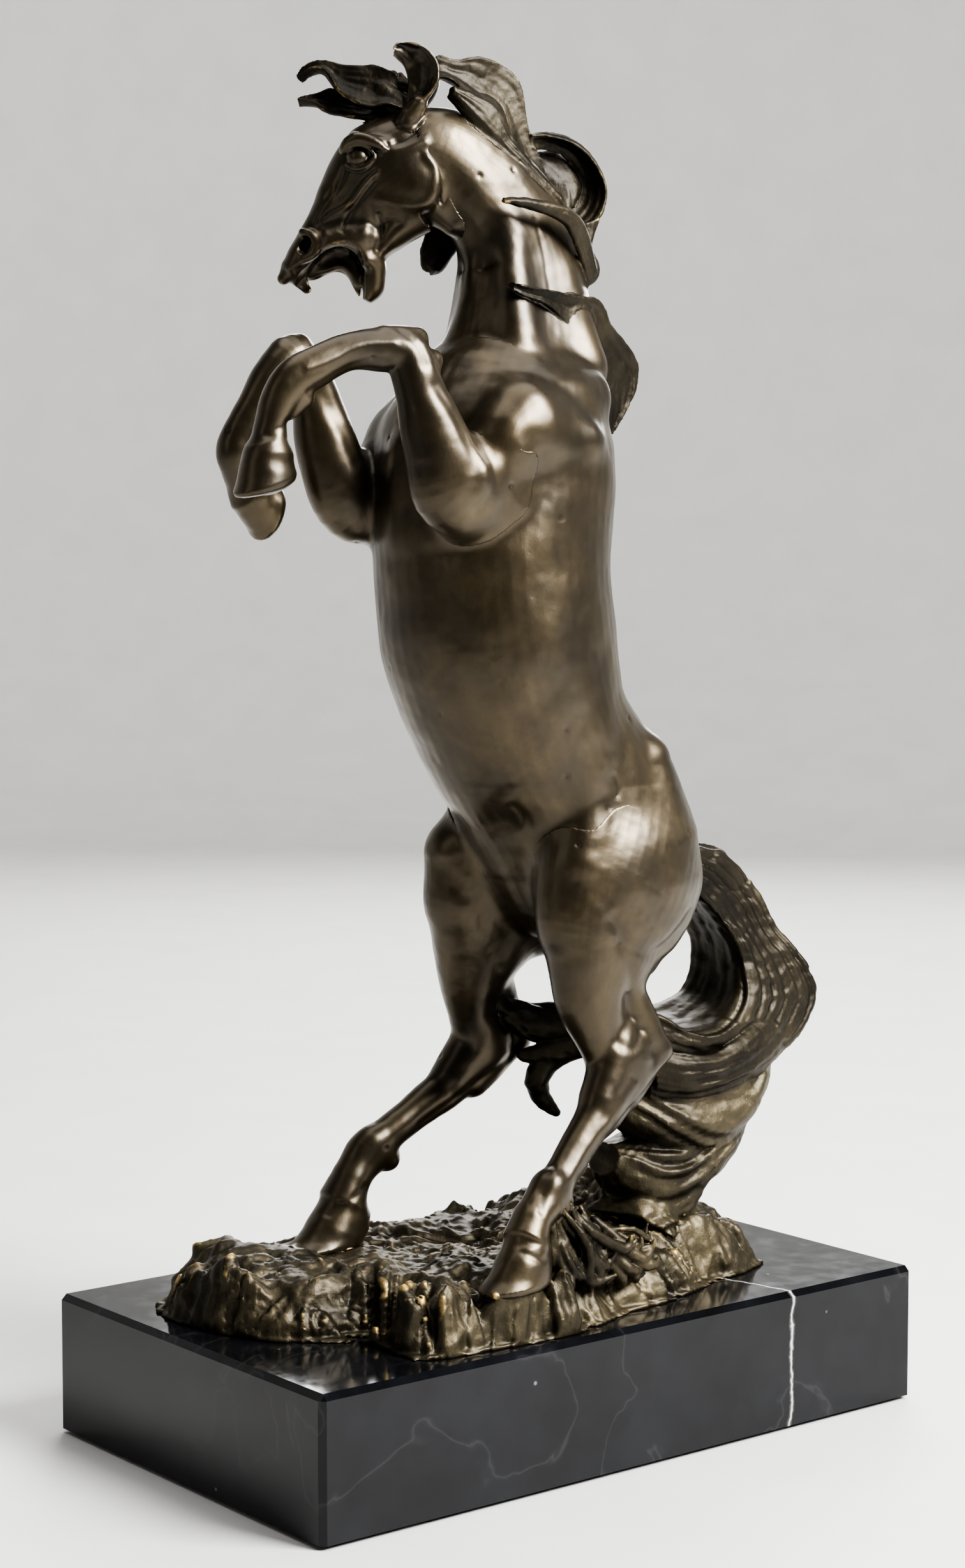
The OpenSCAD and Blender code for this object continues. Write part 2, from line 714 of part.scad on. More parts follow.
module mane_right() {
  color(dark_bronze)
    difference() {
      horse() {
        loft([[-4, -6, 436, 3, 3, 0], [-12, -2, 431, 4, 3.4, 0], [-20, 2, 424, 5.5, 3.4, 0],
          [-25, 4, 416, 5.5, 3, 0], [-25, 4, 410, 2, 2, 0]], 2, 10);
        strand([[-2, -8, 438], [8, -6, 430], [14, -6, 418]], 3.4);
        strand([[0, -6, 430], [8, -4, 420], [10, -3, 406]], 3.4);
        strand([[-8, -4, 434], [-14, 0, 424], [-18, 2, 414]], 3);
        muscle([-4, -8, 440], 4, [-10, -6, 434], 4, 8);
        muscle([-6, -8, 436], 4, [-14, -6, 426], 4, 8);
      }
      horse() neck_forms();
      horse() head_forms();
    }
}

module foreleg_left() {
  color(bronze)
    difference() {
      horse() fore_left_forms();
      horse() trunk_forms();
    }
}

module foreleg_right() {
  color(bronze)
    difference() {
      horse() fore_right_forms();
      horse() trunk_forms();
    }
}

module hindleg_left() {
  color(bronze)
    difference() {
      horse() hind_left_forms();
      horse() trunk_forms();
      casting() ground_forms();
    }
}

module hindleg_right() {
  color(bronze)
    difference() {
      horse() hind_right_forms();
      horse() trunk_forms();
      horse() hind_left_forms();
      casting() ground_forms();
    }
}

module tail_forms() {
  loft([[50, mid, 202, 7, 8, 0], [62, -20, 201, 7.5, 10, 0], [75, -21, 195, 8, 13, 0],
    [87, -22, 184, 9.5, 17, 0], [95, -23, 169, 12, 20, 0], [98, -24, 153, 14, 22, 0],
    [91, -25, 139, 12, 22, 0], [76, -24, 132, 9, 20, 0], [60, -22, 133, 8, 18, 0],
    [47, -18, 140, 7, 14, 0], [36, -10, 144, 5, 8, 0]], 2, 16);
  muscle([102, -34, 158], 8, [119, -35, 146], 8);
  muscle([102, -34, 138], 7, [121, -35, 141], 7);
  strand([[66, -26, 200], [82, -36, 190], [94, -42, 173], [98, -44, 155], [90, -44, 138]], 5);
  strand([[66, -22, 205], [80, -24, 198], [94, -28, 185], [106, -33, 170], [117, -36, 156]], 5);
}

module tail() {
  color(dark_bronze)
    difference() {
      horse() tail_forms();
      horse() trunk_forms();
      horse() hind_left_forms();
      horse() hind_right_forms();
    }
}

module swirl_forms() {
  loft([[96, -30, 130, 7, 8, 0], [89, -33, 118, 12, 13, 0], [74, -35, 110, 15, 15, 0],
    [56, -34, 110, 14, 15, 0], [40, -30, 114, 10, 12, 0], [30, -26, 120, 4, 6, 0]], 2, 14);
  loft([[90, -26, 114, 7, 8, 0], [79, -27, 99, 11, 14, 0], [62, -28, 90, 14, 17, 0],
    [44, -28, 90, 14, 17, 0], [28, -28, 96, 6, 8, 0]], 2, 14);
  loft([[74, -24, 96, 8, 10, 0], [62, -24, 82, 13, 16, 0], [48, -24, 74, 15, 20, 0],
    [40, -26, 66, 16, 22, 0]], 2, 14);
  strand([[97, -34, 122], [82, -44, 112], [62, -46, 113], [40, -40, 120]], 6);
  strand([[87, -36, 104], [70, -44, 96], [48, -44, 97], [30, -38, 105]], 6);
  strand([[70, -34, 88], [56, -42, 82], [36, -40, 86]], 6);
}

module tail_swirl() {
  color(dark_bronze)
    difference() {
      horse() swirl_forms();
      horse() tail_forms();
      horse() hind_left_forms();
      casting() ground_forms();
      grass();
    }
}

module tail_wisp() {
  color(dark_bronze)
    difference() {
      horse() {
        loft([[46, -16, 140, 5, 7, 0], [34, -4, 141, 7, 7, 0], [22, 3, 141, 7, 5, 0],
          [12, 6, 146, 6, 4, 0], [6, 7, 153, 3.5, 3, 0]], 2, 10);
        strand([[40, -8, 138], [30, 0, 130], [23, 3, 122], [26, 4, 114], [31, 4, 107]], 6);
        strand([[38, -10, 134], [28, -2, 132], [16, 3, 131]], 5);
        strand([[34, -6, 142], [33, -1, 148]], 4);
      }
      horse() tail_forms();
      horse() swirl_forms();
      horse() hind_left_forms();
      horse() hind_right_forms();
    }
}

plinth();
felt_base();
studs();
washers();
nuts();
bosses();
ground();
grass();
torso();
neck();
head();
ear_left();
ear_right();
forelock();
mane_crest();
mane_curl();
mane_ridge();
mane_shoulder();
mane_right();
foreleg_left();
foreleg_right();
hindleg_left();
hindleg_right();
tail();
tail_swirl();
tail_wisp();
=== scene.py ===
import math

import bpy
import numpy as np
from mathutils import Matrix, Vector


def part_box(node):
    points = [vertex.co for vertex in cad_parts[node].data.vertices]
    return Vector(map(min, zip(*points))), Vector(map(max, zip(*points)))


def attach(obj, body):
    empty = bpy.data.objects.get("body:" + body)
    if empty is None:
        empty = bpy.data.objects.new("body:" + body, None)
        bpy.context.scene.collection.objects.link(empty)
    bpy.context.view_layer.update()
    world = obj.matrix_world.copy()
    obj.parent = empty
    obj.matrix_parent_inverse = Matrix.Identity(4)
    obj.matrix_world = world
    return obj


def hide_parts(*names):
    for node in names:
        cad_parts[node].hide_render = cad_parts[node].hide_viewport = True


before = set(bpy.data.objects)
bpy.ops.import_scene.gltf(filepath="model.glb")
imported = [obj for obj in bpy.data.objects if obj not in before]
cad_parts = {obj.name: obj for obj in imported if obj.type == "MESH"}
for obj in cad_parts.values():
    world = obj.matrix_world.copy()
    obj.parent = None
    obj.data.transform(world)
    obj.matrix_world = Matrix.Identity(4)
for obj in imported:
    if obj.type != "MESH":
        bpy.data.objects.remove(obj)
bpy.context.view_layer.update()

import openvdb as vdb
from mathutils import Vector

# The bronze is sculpted here in millimetres as signed distance fields: each node's forms are
# joined smoothly, the joined surface is cut back into one closed mesh per node, and fine relief
# moves its vertices. Rows and points are in the CAD's frame, or, for the head and what grows
# from it, in the head's own frame.

MM = 0.001               # metres in a millimetre
TO_MM = 1000             # millimetres in a metre
FAR = 60.0               # a distance that stands for empty space
BAND = 6.5               # how far round a mesh its distances are measured
MID = -20.0              # y of the trunk's middle plane
TURN = math.radians(-37)                    # the head's turn about Z
HEAD_AT = np.array([-36.0, -10.0, 0.0])     # the head's own origin


# ---- Fields ----

class Field:
    """Signed distances on a lattice of pitch h, from lattice index i0."""

    def __init__(self, lo, hi, h):
        self.h = h
        self.i0 = np.floor(np.array(lo, float) / h).astype(int)
        self.n = np.ceil(np.array(hi, float) / h).astype(int) - self.i0 + 1
        self.d = np.full(tuple(self.n), FAR, np.float32)

    def window(self, lo, hi):
        """The part of the lattice inside a box: its slices and its coordinates along each axis."""
        a = np.clip(np.floor(np.array(lo) / self.h).astype(int) - self.i0, 0, self.n)
        b = np.clip(np.ceil(np.array(hi) / self.h).astype(int) + 1 - self.i0, 0, self.n)
        if np.any(b <= a):
            return None
        sl = tuple(slice(p, q) for p, q in zip(a, b))
        ax = [((np.arange(p, q) + o) * self.h).astype(np.float32) for p, q, o in zip(a, b, self.i0)]
        return sl, ax

    def join(self, sl, d, k):
        self.d[sl] = smin(self.d[sl], d, k)

    def cut(self, sl, d, k):
        self.d[sl] = -smin(-self.d[sl], d, k)


def smin(a, b, k):
    """The smaller of two distances, rounded over k where they meet."""
    if k <= 0:
        return np.minimum(a, b)
    t = np.maximum(k - np.abs(a - b), 0) / k
    return np.minimum(a, b) - t * t * t * (k / 6)


def capsule(f, p, r, q, s, k=0.0, carve=False, flat=None):
    """A ball-ended cone from p to q. flat = (axis, share) squeezes it along an axis."""
    p, q = np.array(p, np.float32), np.array(q, np.float32)
    m = max(r, s) + k + 3 * f.h + 1
    got = f.window(np.minimum(p, q) - m, np.maximum(p, q) + m)
    if got is None:
        return
    sl, (X, Y, Z) = got
    v = q - p
    L = float(v @ v) + 1e-9
    X, Y, Z = X[:, None, None] - p[0], Y[None, :, None] - p[1], Z[None, None, :] - p[2]
    t = np.clip((X * v[0] + Y * v[1] + Z * v[2]) / L, 0, 1)
    dx, dy, dz = X - t * v[0], Y - t * v[1], Z - t * v[2]
    if flat is not None:
        n, share = np.array(flat[0], np.float32), flat[1]
        n = n / np.linalg.norm(n)
        w = (dx * n[0] + dy * n[1] + dz * n[2]) * (1 / share - 1)
        dx, dy, dz = dx + w * n[0], dy + w * n[1], dz + w * n[2]
        d = np.sqrt(dx * dx + dy * dy + dz * dz) - (r + (s - r) * t)
        d *= np.where(d > 0, (1 + share) / 2, share)
    else:
        d = np.sqrt(dx * dx + dy * dy + dz * dz) - (r + (s - r) * t)
    (f.cut if carve else f.join)(sl, d.astype(np.float32), k)


def smooth_rows(P, k):
    """Catmull-Rom through rows of numbers, k steps to a row."""
    P = np.array(P, float)
    n = len(P)
    out = []
    for i in range(n - 1):
        a, b, c, d = P[max(i - 1, 0)], P[i], P[i + 1], P[min(i + 2, n - 1)]
        for j in range(k):
            t = j / k
            out.append(0.5 * (2 * b + (c - a) * t + (2 * a - 5 * b + 4 * c - d) * t * t
                              + (3 * b - a - 3 * c + d) * t ** 3))
    out.append(P[-1])
    return np.array(out)


def unit(v):
    return v / np.maximum(np.linalg.norm(v, axis=-1, keepdims=True), 1e-9)


def six(rows):
    """Rows of six numbers. A row that leaves out the last one has 0 there."""
    return np.array([[*r, 0][:6] for r in rows], float)


def loft(P, k=6, m=48, side=(0, 1, 0), ridges=None):
    """Rings along rows x, y, z, half depth, half width, and how egg-shaped they are, which may
    be left out. Returns points and faces."""
    R = smooth_rows(six(P), k)
    c = R[:, :3]
    t = unit(np.gradient(c, axis=0))
    sd = np.broadcast_to(np.array(side, float), c.shape)
    s = unit(sd - t * (sd * t).sum(1, keepdims=True))
    n = np.cross(t, s)
    w = np.linspace(0, 2 * np.pi, m, endpoint=False)
    cw, sw = np.cos(w)[None, :, None], np.sin(w)[None, :, None]
    a, b, e = (R[:, i][:, None, None] for i in (3, 4, 5))
    if ridges is not None:
        u = np.linspace(0, 1, len(R))[:, None]
        g = 1 + ridges(u, w[None, :])[..., None]
    else:
        g = 1
    pts = c[:, None] + (n[:, None] * a * cw + s[:, None] * b * sw * (1 + e * cw)) * g
    return tube_faces(pts)


def tube_faces(pts):
    """Closes a grid of rings with a fan at each end."""
    n, m = pts.shape[:2]
    i, j = np.meshgrid(np.arange(n - 1), np.arange(m), indexing="ij")
    a, b = i * m + j, i * m + (j + 1) % m
    quads = np.stack([a, a + m, b + m, b], -1).reshape(-1, 4)
    ends = np.stack([pts[0].mean(0), pts[-1].mean(0)])
    jj = np.arange(m)
    t0 = np.stack([np.full(m, n * m), jj, (jj + 1) % m], -1)
    base = (n - 1) * m
    t1 = np.stack([np.full(m, n * m + 1), base + (jj + 1) % m, base + jj], -1)
    return np.concatenate([pts.reshape(-1, 3), ends]), quads, np.concatenate([t0, t1])


def add_mesh(f, mesh, k=0.0):
    """Joins a closed mesh, smoothly over k."""
    pts, quads, tris = mesh
    band = math.ceil(BAND / f.h)
    lo, hi = pts.min(0) - band * f.h, pts.max(0) + band * f.h
    got = f.window(lo, hi)
    if got is None:
        return
    sl, ax = got
    tr = vdb.createLinearTransform(voxelSize=f.h)
    g = vdb.FloatGrid.createLevelSetFromPolygons(
        pts.astype(np.float32), triangles=tris.astype(np.uint32), quads=quads.astype(np.uint32),
        transform=tr, halfWidth=float(band))
    a = np.empty(tuple(s.stop - s.start for s in sl), np.float32)
    g.copyToArray(a, ijk=tuple(int(s.start + o) for s, o in zip(sl, f.i0)))
    f.join(sl, a, k)


# ---- Noise ----

def _hash(i, j, k, seed):
    """A fixed number between -1 and 1 for each cell of the lattice i, j, k."""
    h = (i * 374761393 + j * 668265263 + k * 2147483647 + seed * 974711) & 0xFFFFFFFF
    h = ((h ^ (h >> 13)) * 1274126177) & 0xFFFFFFFF
    h = (h ^ (h >> 16)) & 0xFFFFFFFF
    return h.astype(np.float64) / 0xFFFFFFFF * 2 - 1


def noise(P, seed=0):
    """Value noise between -1 and 1 at the points P, one unit to a cell."""
    P = np.asarray(P, float)
    i = np.floor(P).astype(np.int64)
    u = P - i
    u = u * u * u * (u * (u * 6 - 15) + 10)
    out = 0
    for a in (0, 1):
        for b in (0, 1):
            for c in (0, 1):
                w = (u[..., 0] if a else 1 - u[..., 0]) * (u[..., 1] if b else 1 - u[..., 1]) \
                    * (u[..., 2] if c else 1 - u[..., 2])
                out = out + w * _hash(i[..., 0] + a, i[..., 1] + b, i[..., 2] + c, seed)
    return out


# ---- Forms: rows as in part.scad, with finer muscles ----

TRUNK = [
    [40, MID, 178, 12, 18], [36, MID, 186, 24, 27], [28, MID, 200, 35, 33], [21, MID, 217, 38, 36],
    [10, MID, 233, 37, 37], [-1, MID, 248, 37, 38], [-8, MID, 264, 39, 39, 0.04],
    [-13, MID, 282, 42, 40, 0.06], [-15.5, MID, 300, 42, 39.5, 0.06], [-16, MID, 320, 43, 39, 0.04],
    [-14, MID, 342, 43, 38], [-10, MID, 360, 39, 34], [-5, MID, 376, 29, 24],
    [-3, MID, 386, 18, 14]]
NECK = [
    [-8, MID, 350, 32, 27, 0.1], [-5, -19, 366, 33, 24, 0.15], [-2, -19, 382, 30, 19, 0.2],
    [0, -18, 399, 27, 15.5, 0.2], [0, -17, 413, 25, 13.5, 0.2], [-7, -16, 427, 22.5, 13, 0.15],
    [-19, -14, 439, 19.5, 12.5, 0.1], [-32, -11.5, 448, 16, 11], [-42, -8, 452, 11, 8]]
HIND_LEFT = [
    [34, -34, 226, 22, 12], [27, -41, 212, 32, 19], [20, -44, 198, 35, 20],
    [12, -46, 183, 30, 17.5], [8, -47, 170, 22, 14.5], [5, -48, 158, 14.5, 10.5],
    [9, -49.5, 146, 11.5, 8.5], [16, -51.5, 135, 12.5, 8.5], [8, -53.5, 123, 9.5, 7.5],
    [-6, -56, 111, 6.8, 6], [-17, -58, 101, 6.2, 5.6], [-25, -60, 94, 7.6, 6.8],
    [-33, -62, 88, 6, 6], [-38, -64, 82, 7, 7]]
HIND_RIGHT = [
    [32, -6, 226, 22, 12], [22, 1, 212, 32, 19], [13, 4, 198, 35, 20], [5, 7, 183, 29, 17.5],
    [1, 9, 170, 20, 14.5], [-1, 11, 157, 13, 10.5], [1, 12.5, 145, 10, 8.2],
    [5, 14, 133, 11.5, 8.5], [-7, 15.5, 121, 8.5, 7.2], [-20, 17, 113, 6.8, 6.2],
    [-33, 18.5, 105, 6.6, 6], [-42, 20, 98, 8.4, 7], [-49, 20, 90, 6, 6], [-53, 20, 83, 7.5, 7.5]]
FORE_LEFT = [
    [-22, -44, 342, 14, 8], [-42, -46, 332, 15, 10], [-56, -47, 332, 13.5, 10.5],
    [-61, -47, 344, 12, 10.5], [-65, -46, 357, 9.8, 9], [-68.5, -45, 368, 8, 7.6],
    [-72, -43, 377, 8, 7.8], [-81, -40, 378, 7.2, 7.2], [-91, -38, 377, 6.2, 5.8],
    [-101, -36, 372.5, 6.6, 5.6], [-110, -33, 366.5, 6.8, 6], [-115, -31, 358, 5.6, 5.6],
    [-116.5, -30, 350, 4.4, 4.8], [-117, -30, 344, 7, 6.8]]
FORE_RIGHT = [
    [-26, 4, 340, 14, 8], [-46, 6, 330, 14, 10], [-59, 6, 329, 12, 10.5], [-65, 7, 340, 11, 10.5],
    [-68, 8, 351, 10.6, 9.6], [-70.5, 8, 362, 9, 8], [-75, 8, 372, 7.8, 7.6],
    [-82, 7, 378, 7.2, 7.4], [-90, 8, 371, 6.2, 6.2], [-95, 10, 361, 6, 5.6],
    [-99.5, 12, 352, 6.2, 5.8], [-100.5, 13, 345, 7, 6.4], [-97, 14, 338, 5.8, 5.6],
    [-93, 14, 332, 8, 7.2]]


def both(*rows):
    """Muscles on both sides of the middle plane: y is measured from it."""
    return [[[p[0], MID + s * p[1], p[2]], r, [q[0], MID + s * q[1], q[2]], t, k]
            for p, r, q, t, k in rows for s in (-1, 1)]


MUSCLES = {
    "torso": both(
        ([8, 18, 366], 10, [-26, 27, 357], 14, 10), ([-4, 28, 350], 10, [-34, 28, 350], 13, 8),
        ([-38, 12, 352], 14, [-36, 18, 336], 12, 6), ([33, 24, 240], 8, [34, 20, 216], 19, 10),
        ([49, 12, 206], 14, [36, 14, 230], 14, 10), ([0, 28, 240], 7, [0, 30, 215], 7, 8),
    ) + [
        [[-48, MID, 345], 10, [-50, MID, 318], 9, 6], [[-4, MID, 216], 8, [4, MID + 2, 196], 7, 4],
        [[52, MID, 206], 12, [60, MID, 200], 8, 6]],
    "neck": [
        [[-20, -17, 420], 4, [-23, -18, 394], 5, 4], [[-23, -18, 394], 5, [-33, -19, 366], 7, 4],
        [[-14, -23, 424], 5, [-16, -32, 382], 8, 8], [[-14, -9, 424], 5, [-16, -6, 382], 8, 8],
        [[8, -23, 406], 6, [14, -31, 376], 9, 14], [[8, -13, 406], 6, [14, -9, 376], 9, 14]],
    "hindleg_left": [
        [[-2, -48, 204], 10, [4, -46, 186], 11, 10], [[44, -38, 196], 16, [30, -42, 180], 14, 6],
        [[0, -50, 172], 9, [6, -50, 156], 7, 6], [[19, -49, 160], 7, [31, -52, 138], 5.5, 5],
        [[33, -52, 137], 4.5, [16, -53, 124], 6, 4], [[12, -52, 138], 8, [4, -54, 124], 7, 4],
        [[-20, -60, 92], 5, [-24, -60, 98], 6, 3], [[30, -46, 168], 5, [16, -48, 172], 10, 6]],
    "hindleg_right": [
        [[-13, 7, 206], 10, [-9, 7, 190], 12, 10], [[36, 0, 196], 16, [22, 4, 180], 14, 6],
        [[-6, 10, 172], 9, [-2, 11, 156], 7, 6], [[9, 11.5, 158], 7, [20, 14, 134], 5.5, 5],
        [[22, 14, 133], 4.5, [2, 15, 120], 6, 4], [[1, 14, 136], 7.5, [-8, 15, 123], 7, 4],
        [[-34, 19, 96], 5, [-40, 19, 102], 6, 3]],
    "foreleg_left": [
        [[-50, -45, 325], 7, [-36, -46, 330], 10, 5], [[-53, -50, 338], 10, [-64, -48, 356], 7, 6],
        [[-67, -43, 382], 4, [-78, -41, 382], 4, 3], [[-62, -44, 375], 4, [-66, -44, 367], 5, 3],
        [[-106, -33, 362], 4, [-109, -32, 358], 3, 3],
        [[-30, -47, 350], 12, [-48, -47, 334], 11, 8]],
    "foreleg_right": [
        [[-57, 5, 323], 7, [-42, 6, 328], 10, 5], [[-60, 9, 336], 10, [-68, 9, 354], 8, 6],
        [[-79, 7, 382], 4, [-85, 7, 380], 4, 3], [[-74, 7, 373], 5, [-71, 8, 366], 5, 3],
        [[-95, 12, 346], 4, [-94, 12, 349], 3, 3], [[-32, 7, 350], 12, [-50, 7, 334], 11, 8]],
}
PASTERNS = {
    "hindleg_left": ([-34, -62.5, 88], 6, [-41, -65, 74], 8),
    "hindleg_right": ([-49, 20, 90], 6.5, [-57, 20, 73], 9),
    "foreleg_left": ([-116.5, -30, 350], 4.6, [-117.5, -30, 338], 7),
    "foreleg_right": ([-97, 14, 338], 5.6, [-90, 14, 329], 7.4),
}
HOOVES = {
    "hindleg_left": ([-44, -66, 66], -4, 4, 15, 9.5, 11, 6),
    "hindleg_right": ([-62, 20, 66], -4, 0, 18, 10.5, 10, 9),
    "foreleg_left": ([-118, -30, 332], -18, 4, 12, 9, 12, 3),
    "foreleg_right": ([-86.5, 14, 325], -74, 8, 10.5, 9, 10, 3),
}
LOFTS = {"torso": TRUNK, "neck": NECK, "hindleg_left": HIND_LEFT, "hindleg_right": HIND_RIGHT,
         "foreleg_left": FORE_LEFT, "foreleg_right": FORE_RIGHT}


def hoof(c, tilt, turn, long, wide, rise, back):
    """Rings from the sole up to the coronet, as in part.scad."""
    w = np.linspace(0, 2 * np.pi, 40, endpoint=False)
    rings = []
    for z, share, x in ((0, 0.7, 0), (1.0, 0.9, 0), (2.6, 0.96, 0.3),
                        (rise * 0.5, 0.84, back * 0.5),
                        (rise, 0.66, back), (rise + 3, 0.5, back + 1)):
        rings.append(np.stack([x + long * share * np.cos(w), wide * (share * 0.8 + 0.2) * np.sin(w),
                               np.full_like(w, z)], -1))
    pts = np.array(rings)
    a, b = math.radians(tilt), math.radians(turn)
    ry = np.array([[math.cos(a), 0, math.sin(a)], [0, 1, 0], [-math.sin(a), 0, math.cos(a)]])
    rz = np.array([[math.cos(b), -math.sin(b), 0], [math.sin(b), math.cos(b), 0], [0, 0, 1]])
    return tube_faces(pts @ (rz @ ry).T + np.array(c, float))


# ---- Hair: sheets between two edges ----

CT, ST = math.cos(TURN), math.sin(TURN)
HEAD_ROT = np.array([[CT, -ST, 0], [ST, CT, 0], [0, 0, 1]])


def from_head(p):
    """Points of the head's own frame, whose -X is the way it faces, in the CAD's frame."""
    return np.asarray(p, float) @ HEAD_ROT.T + HEAD_AT


def sheet(rows, ridges=7, depth=0.7, seed=1, k=7, m=36, local=False):
    """A lock of hair. Each row is one edge's point, the other edge's point, half thickness
    and how far the middle bulges. depth is that of the grooves along it."""
    R = smooth_rows(rows, k)
    A, B = R[:, :3], R[:, 3:6]
    if local:
        A, B = from_head(A), from_head(B)
    th, bulge = R[:, 6][:, None], R[:, 7][:, None]
    c, half = (A + B) / 2, (B - A) / 2
    t = unit(np.gradient(c, axis=0))
    n = unit(np.cross(t, half))
    width = np.linalg.norm(half, axis=1)[:, None]
    v = np.cos(np.linspace(0, np.pi, m // 2))[None, :]
    u = np.linspace(0, 1, len(R))[:, None]
    r = np.random.default_rng(seed)
    g = 0
    for j, share in ((1.0, 0.7), (1.9, 0.3)):
        ph = r.uniform(0, 6)
        drift = 0.5 * np.sin(2 * np.pi * (u * r.uniform(0.6, 1.4) + r.uniform(0, 1)))
        fade = 0.65 + 0.35 * np.sin(2 * np.pi * (u * r.uniform(1.2, 2.2) + v * r.uniform(-1, 1)))
        g = g + share * fade * (np.abs(np.sin(np.pi * (ridges * j * (v + 0.2 * drift) / 2) + ph))
                                - 0.6)
    room = np.clip(width / 3, 0, 1)
    g = depth * g * room
    edge = np.sqrt(np.clip(1 - v ** 4, 0, 1)) * 0.85 + 0.15
    lift = bulge * (1 - v * v)
    top = c[:, None] + half[:, None] * v[..., None] + n[:, None] * (lift + th * edge + g)[..., None]
    low = c[:, None] + half[:, None] * v[..., None] + n[:, None] * (lift - th * edge + g)[..., None]
    return tube_faces(np.concatenate([top, low[:, ::-1]], 1)[:, ::-1])


def sheets(f, rows, th, bulge, k=0.6, local=False, **kw):
    """Joins a sheet whose rows may leave out the half thickness and the bulge."""
    R = [list(r[:6]) + [r[6] if len(r) > 6 else th, r[7] if len(r) > 7 else bulge] for r in rows]
    add_mesh(f, sheet(R, local=local, **kw), k)


def grooves(n, depth, seed, twist=0.3):
    """About n grooves round a loft, which drift along it."""
    r = np.random.default_rng(seed)
    ph = r.uniform(0, 6, 3)

    def f(u, w):
        a = w + twist * np.sin(2 * np.pi * u + ph[0]) + twist * 2 * u
        b = a + 0.25 * np.sin(3 * a + 5 * u + ph[2])
        return depth * (np.abs(np.sin(b * n / 2 + ph[1])) - 0.6
                        + 0.35 * (np.abs(np.sin(b * n * 0.9 + ph[2])) - 0.6))
    return f


def chain(f, P, r, k=0.5, carve=False, local=False):
    """Capsules along rows x, y, z, radius share."""
    R = smooth_rows(P, 3)
    C = from_head(R[:, :3]) if local else R[:, :3]
    for i in range(len(R) - 1):
        capsule(f, C[i], r * R[i, 3], C[i + 1], r * R[i + 1, 3], k, carve)


def ball(f, p, r, q, s, k=0.0, carve=False, flat=None):
    """A capsule of the head's own frame."""
    if flat is not None:
        flat = (HEAD_ROT @ np.array(flat[0], float), flat[1])
    capsule(f, from_head(p), r, from_head(q), s, k, carve, flat)


def head_loft(f, rows, k=0.0):
    """A loft of the head's own frame."""
    P = six(rows)
    P[:, :3] = from_head(P[:, :3])
    add_mesh(f, loft(P, side=HEAD_ROT[:, 1]), k)


def head_chain(f, P, r, k=0.5, carve=False):
    """A chain of the head's own frame."""
    chain(f, P, r, k, carve, local=True)


def lock(f, rows, th, bulge, **kw):
    """A sheet of the head's own frame."""
    sheets(f, rows, th, bulge, local=True, **kw)


# ---- Each node's form ----

def body_form(name):
    """The form of a node that is a loft with muscles, and of a leg with its hoof."""
    def form(f):
        add_mesh(f, loft(LOFTS[name]))
        for p, r, q, s, k in MUSCLES[name]:
            capsule(f, p, r, q, s, k)
        if name in HOOVES:
            add_mesh(f, hoof(*HOOVES[name]), 5)
            capsule(f, *PASTERNS[name], 6)
    return form


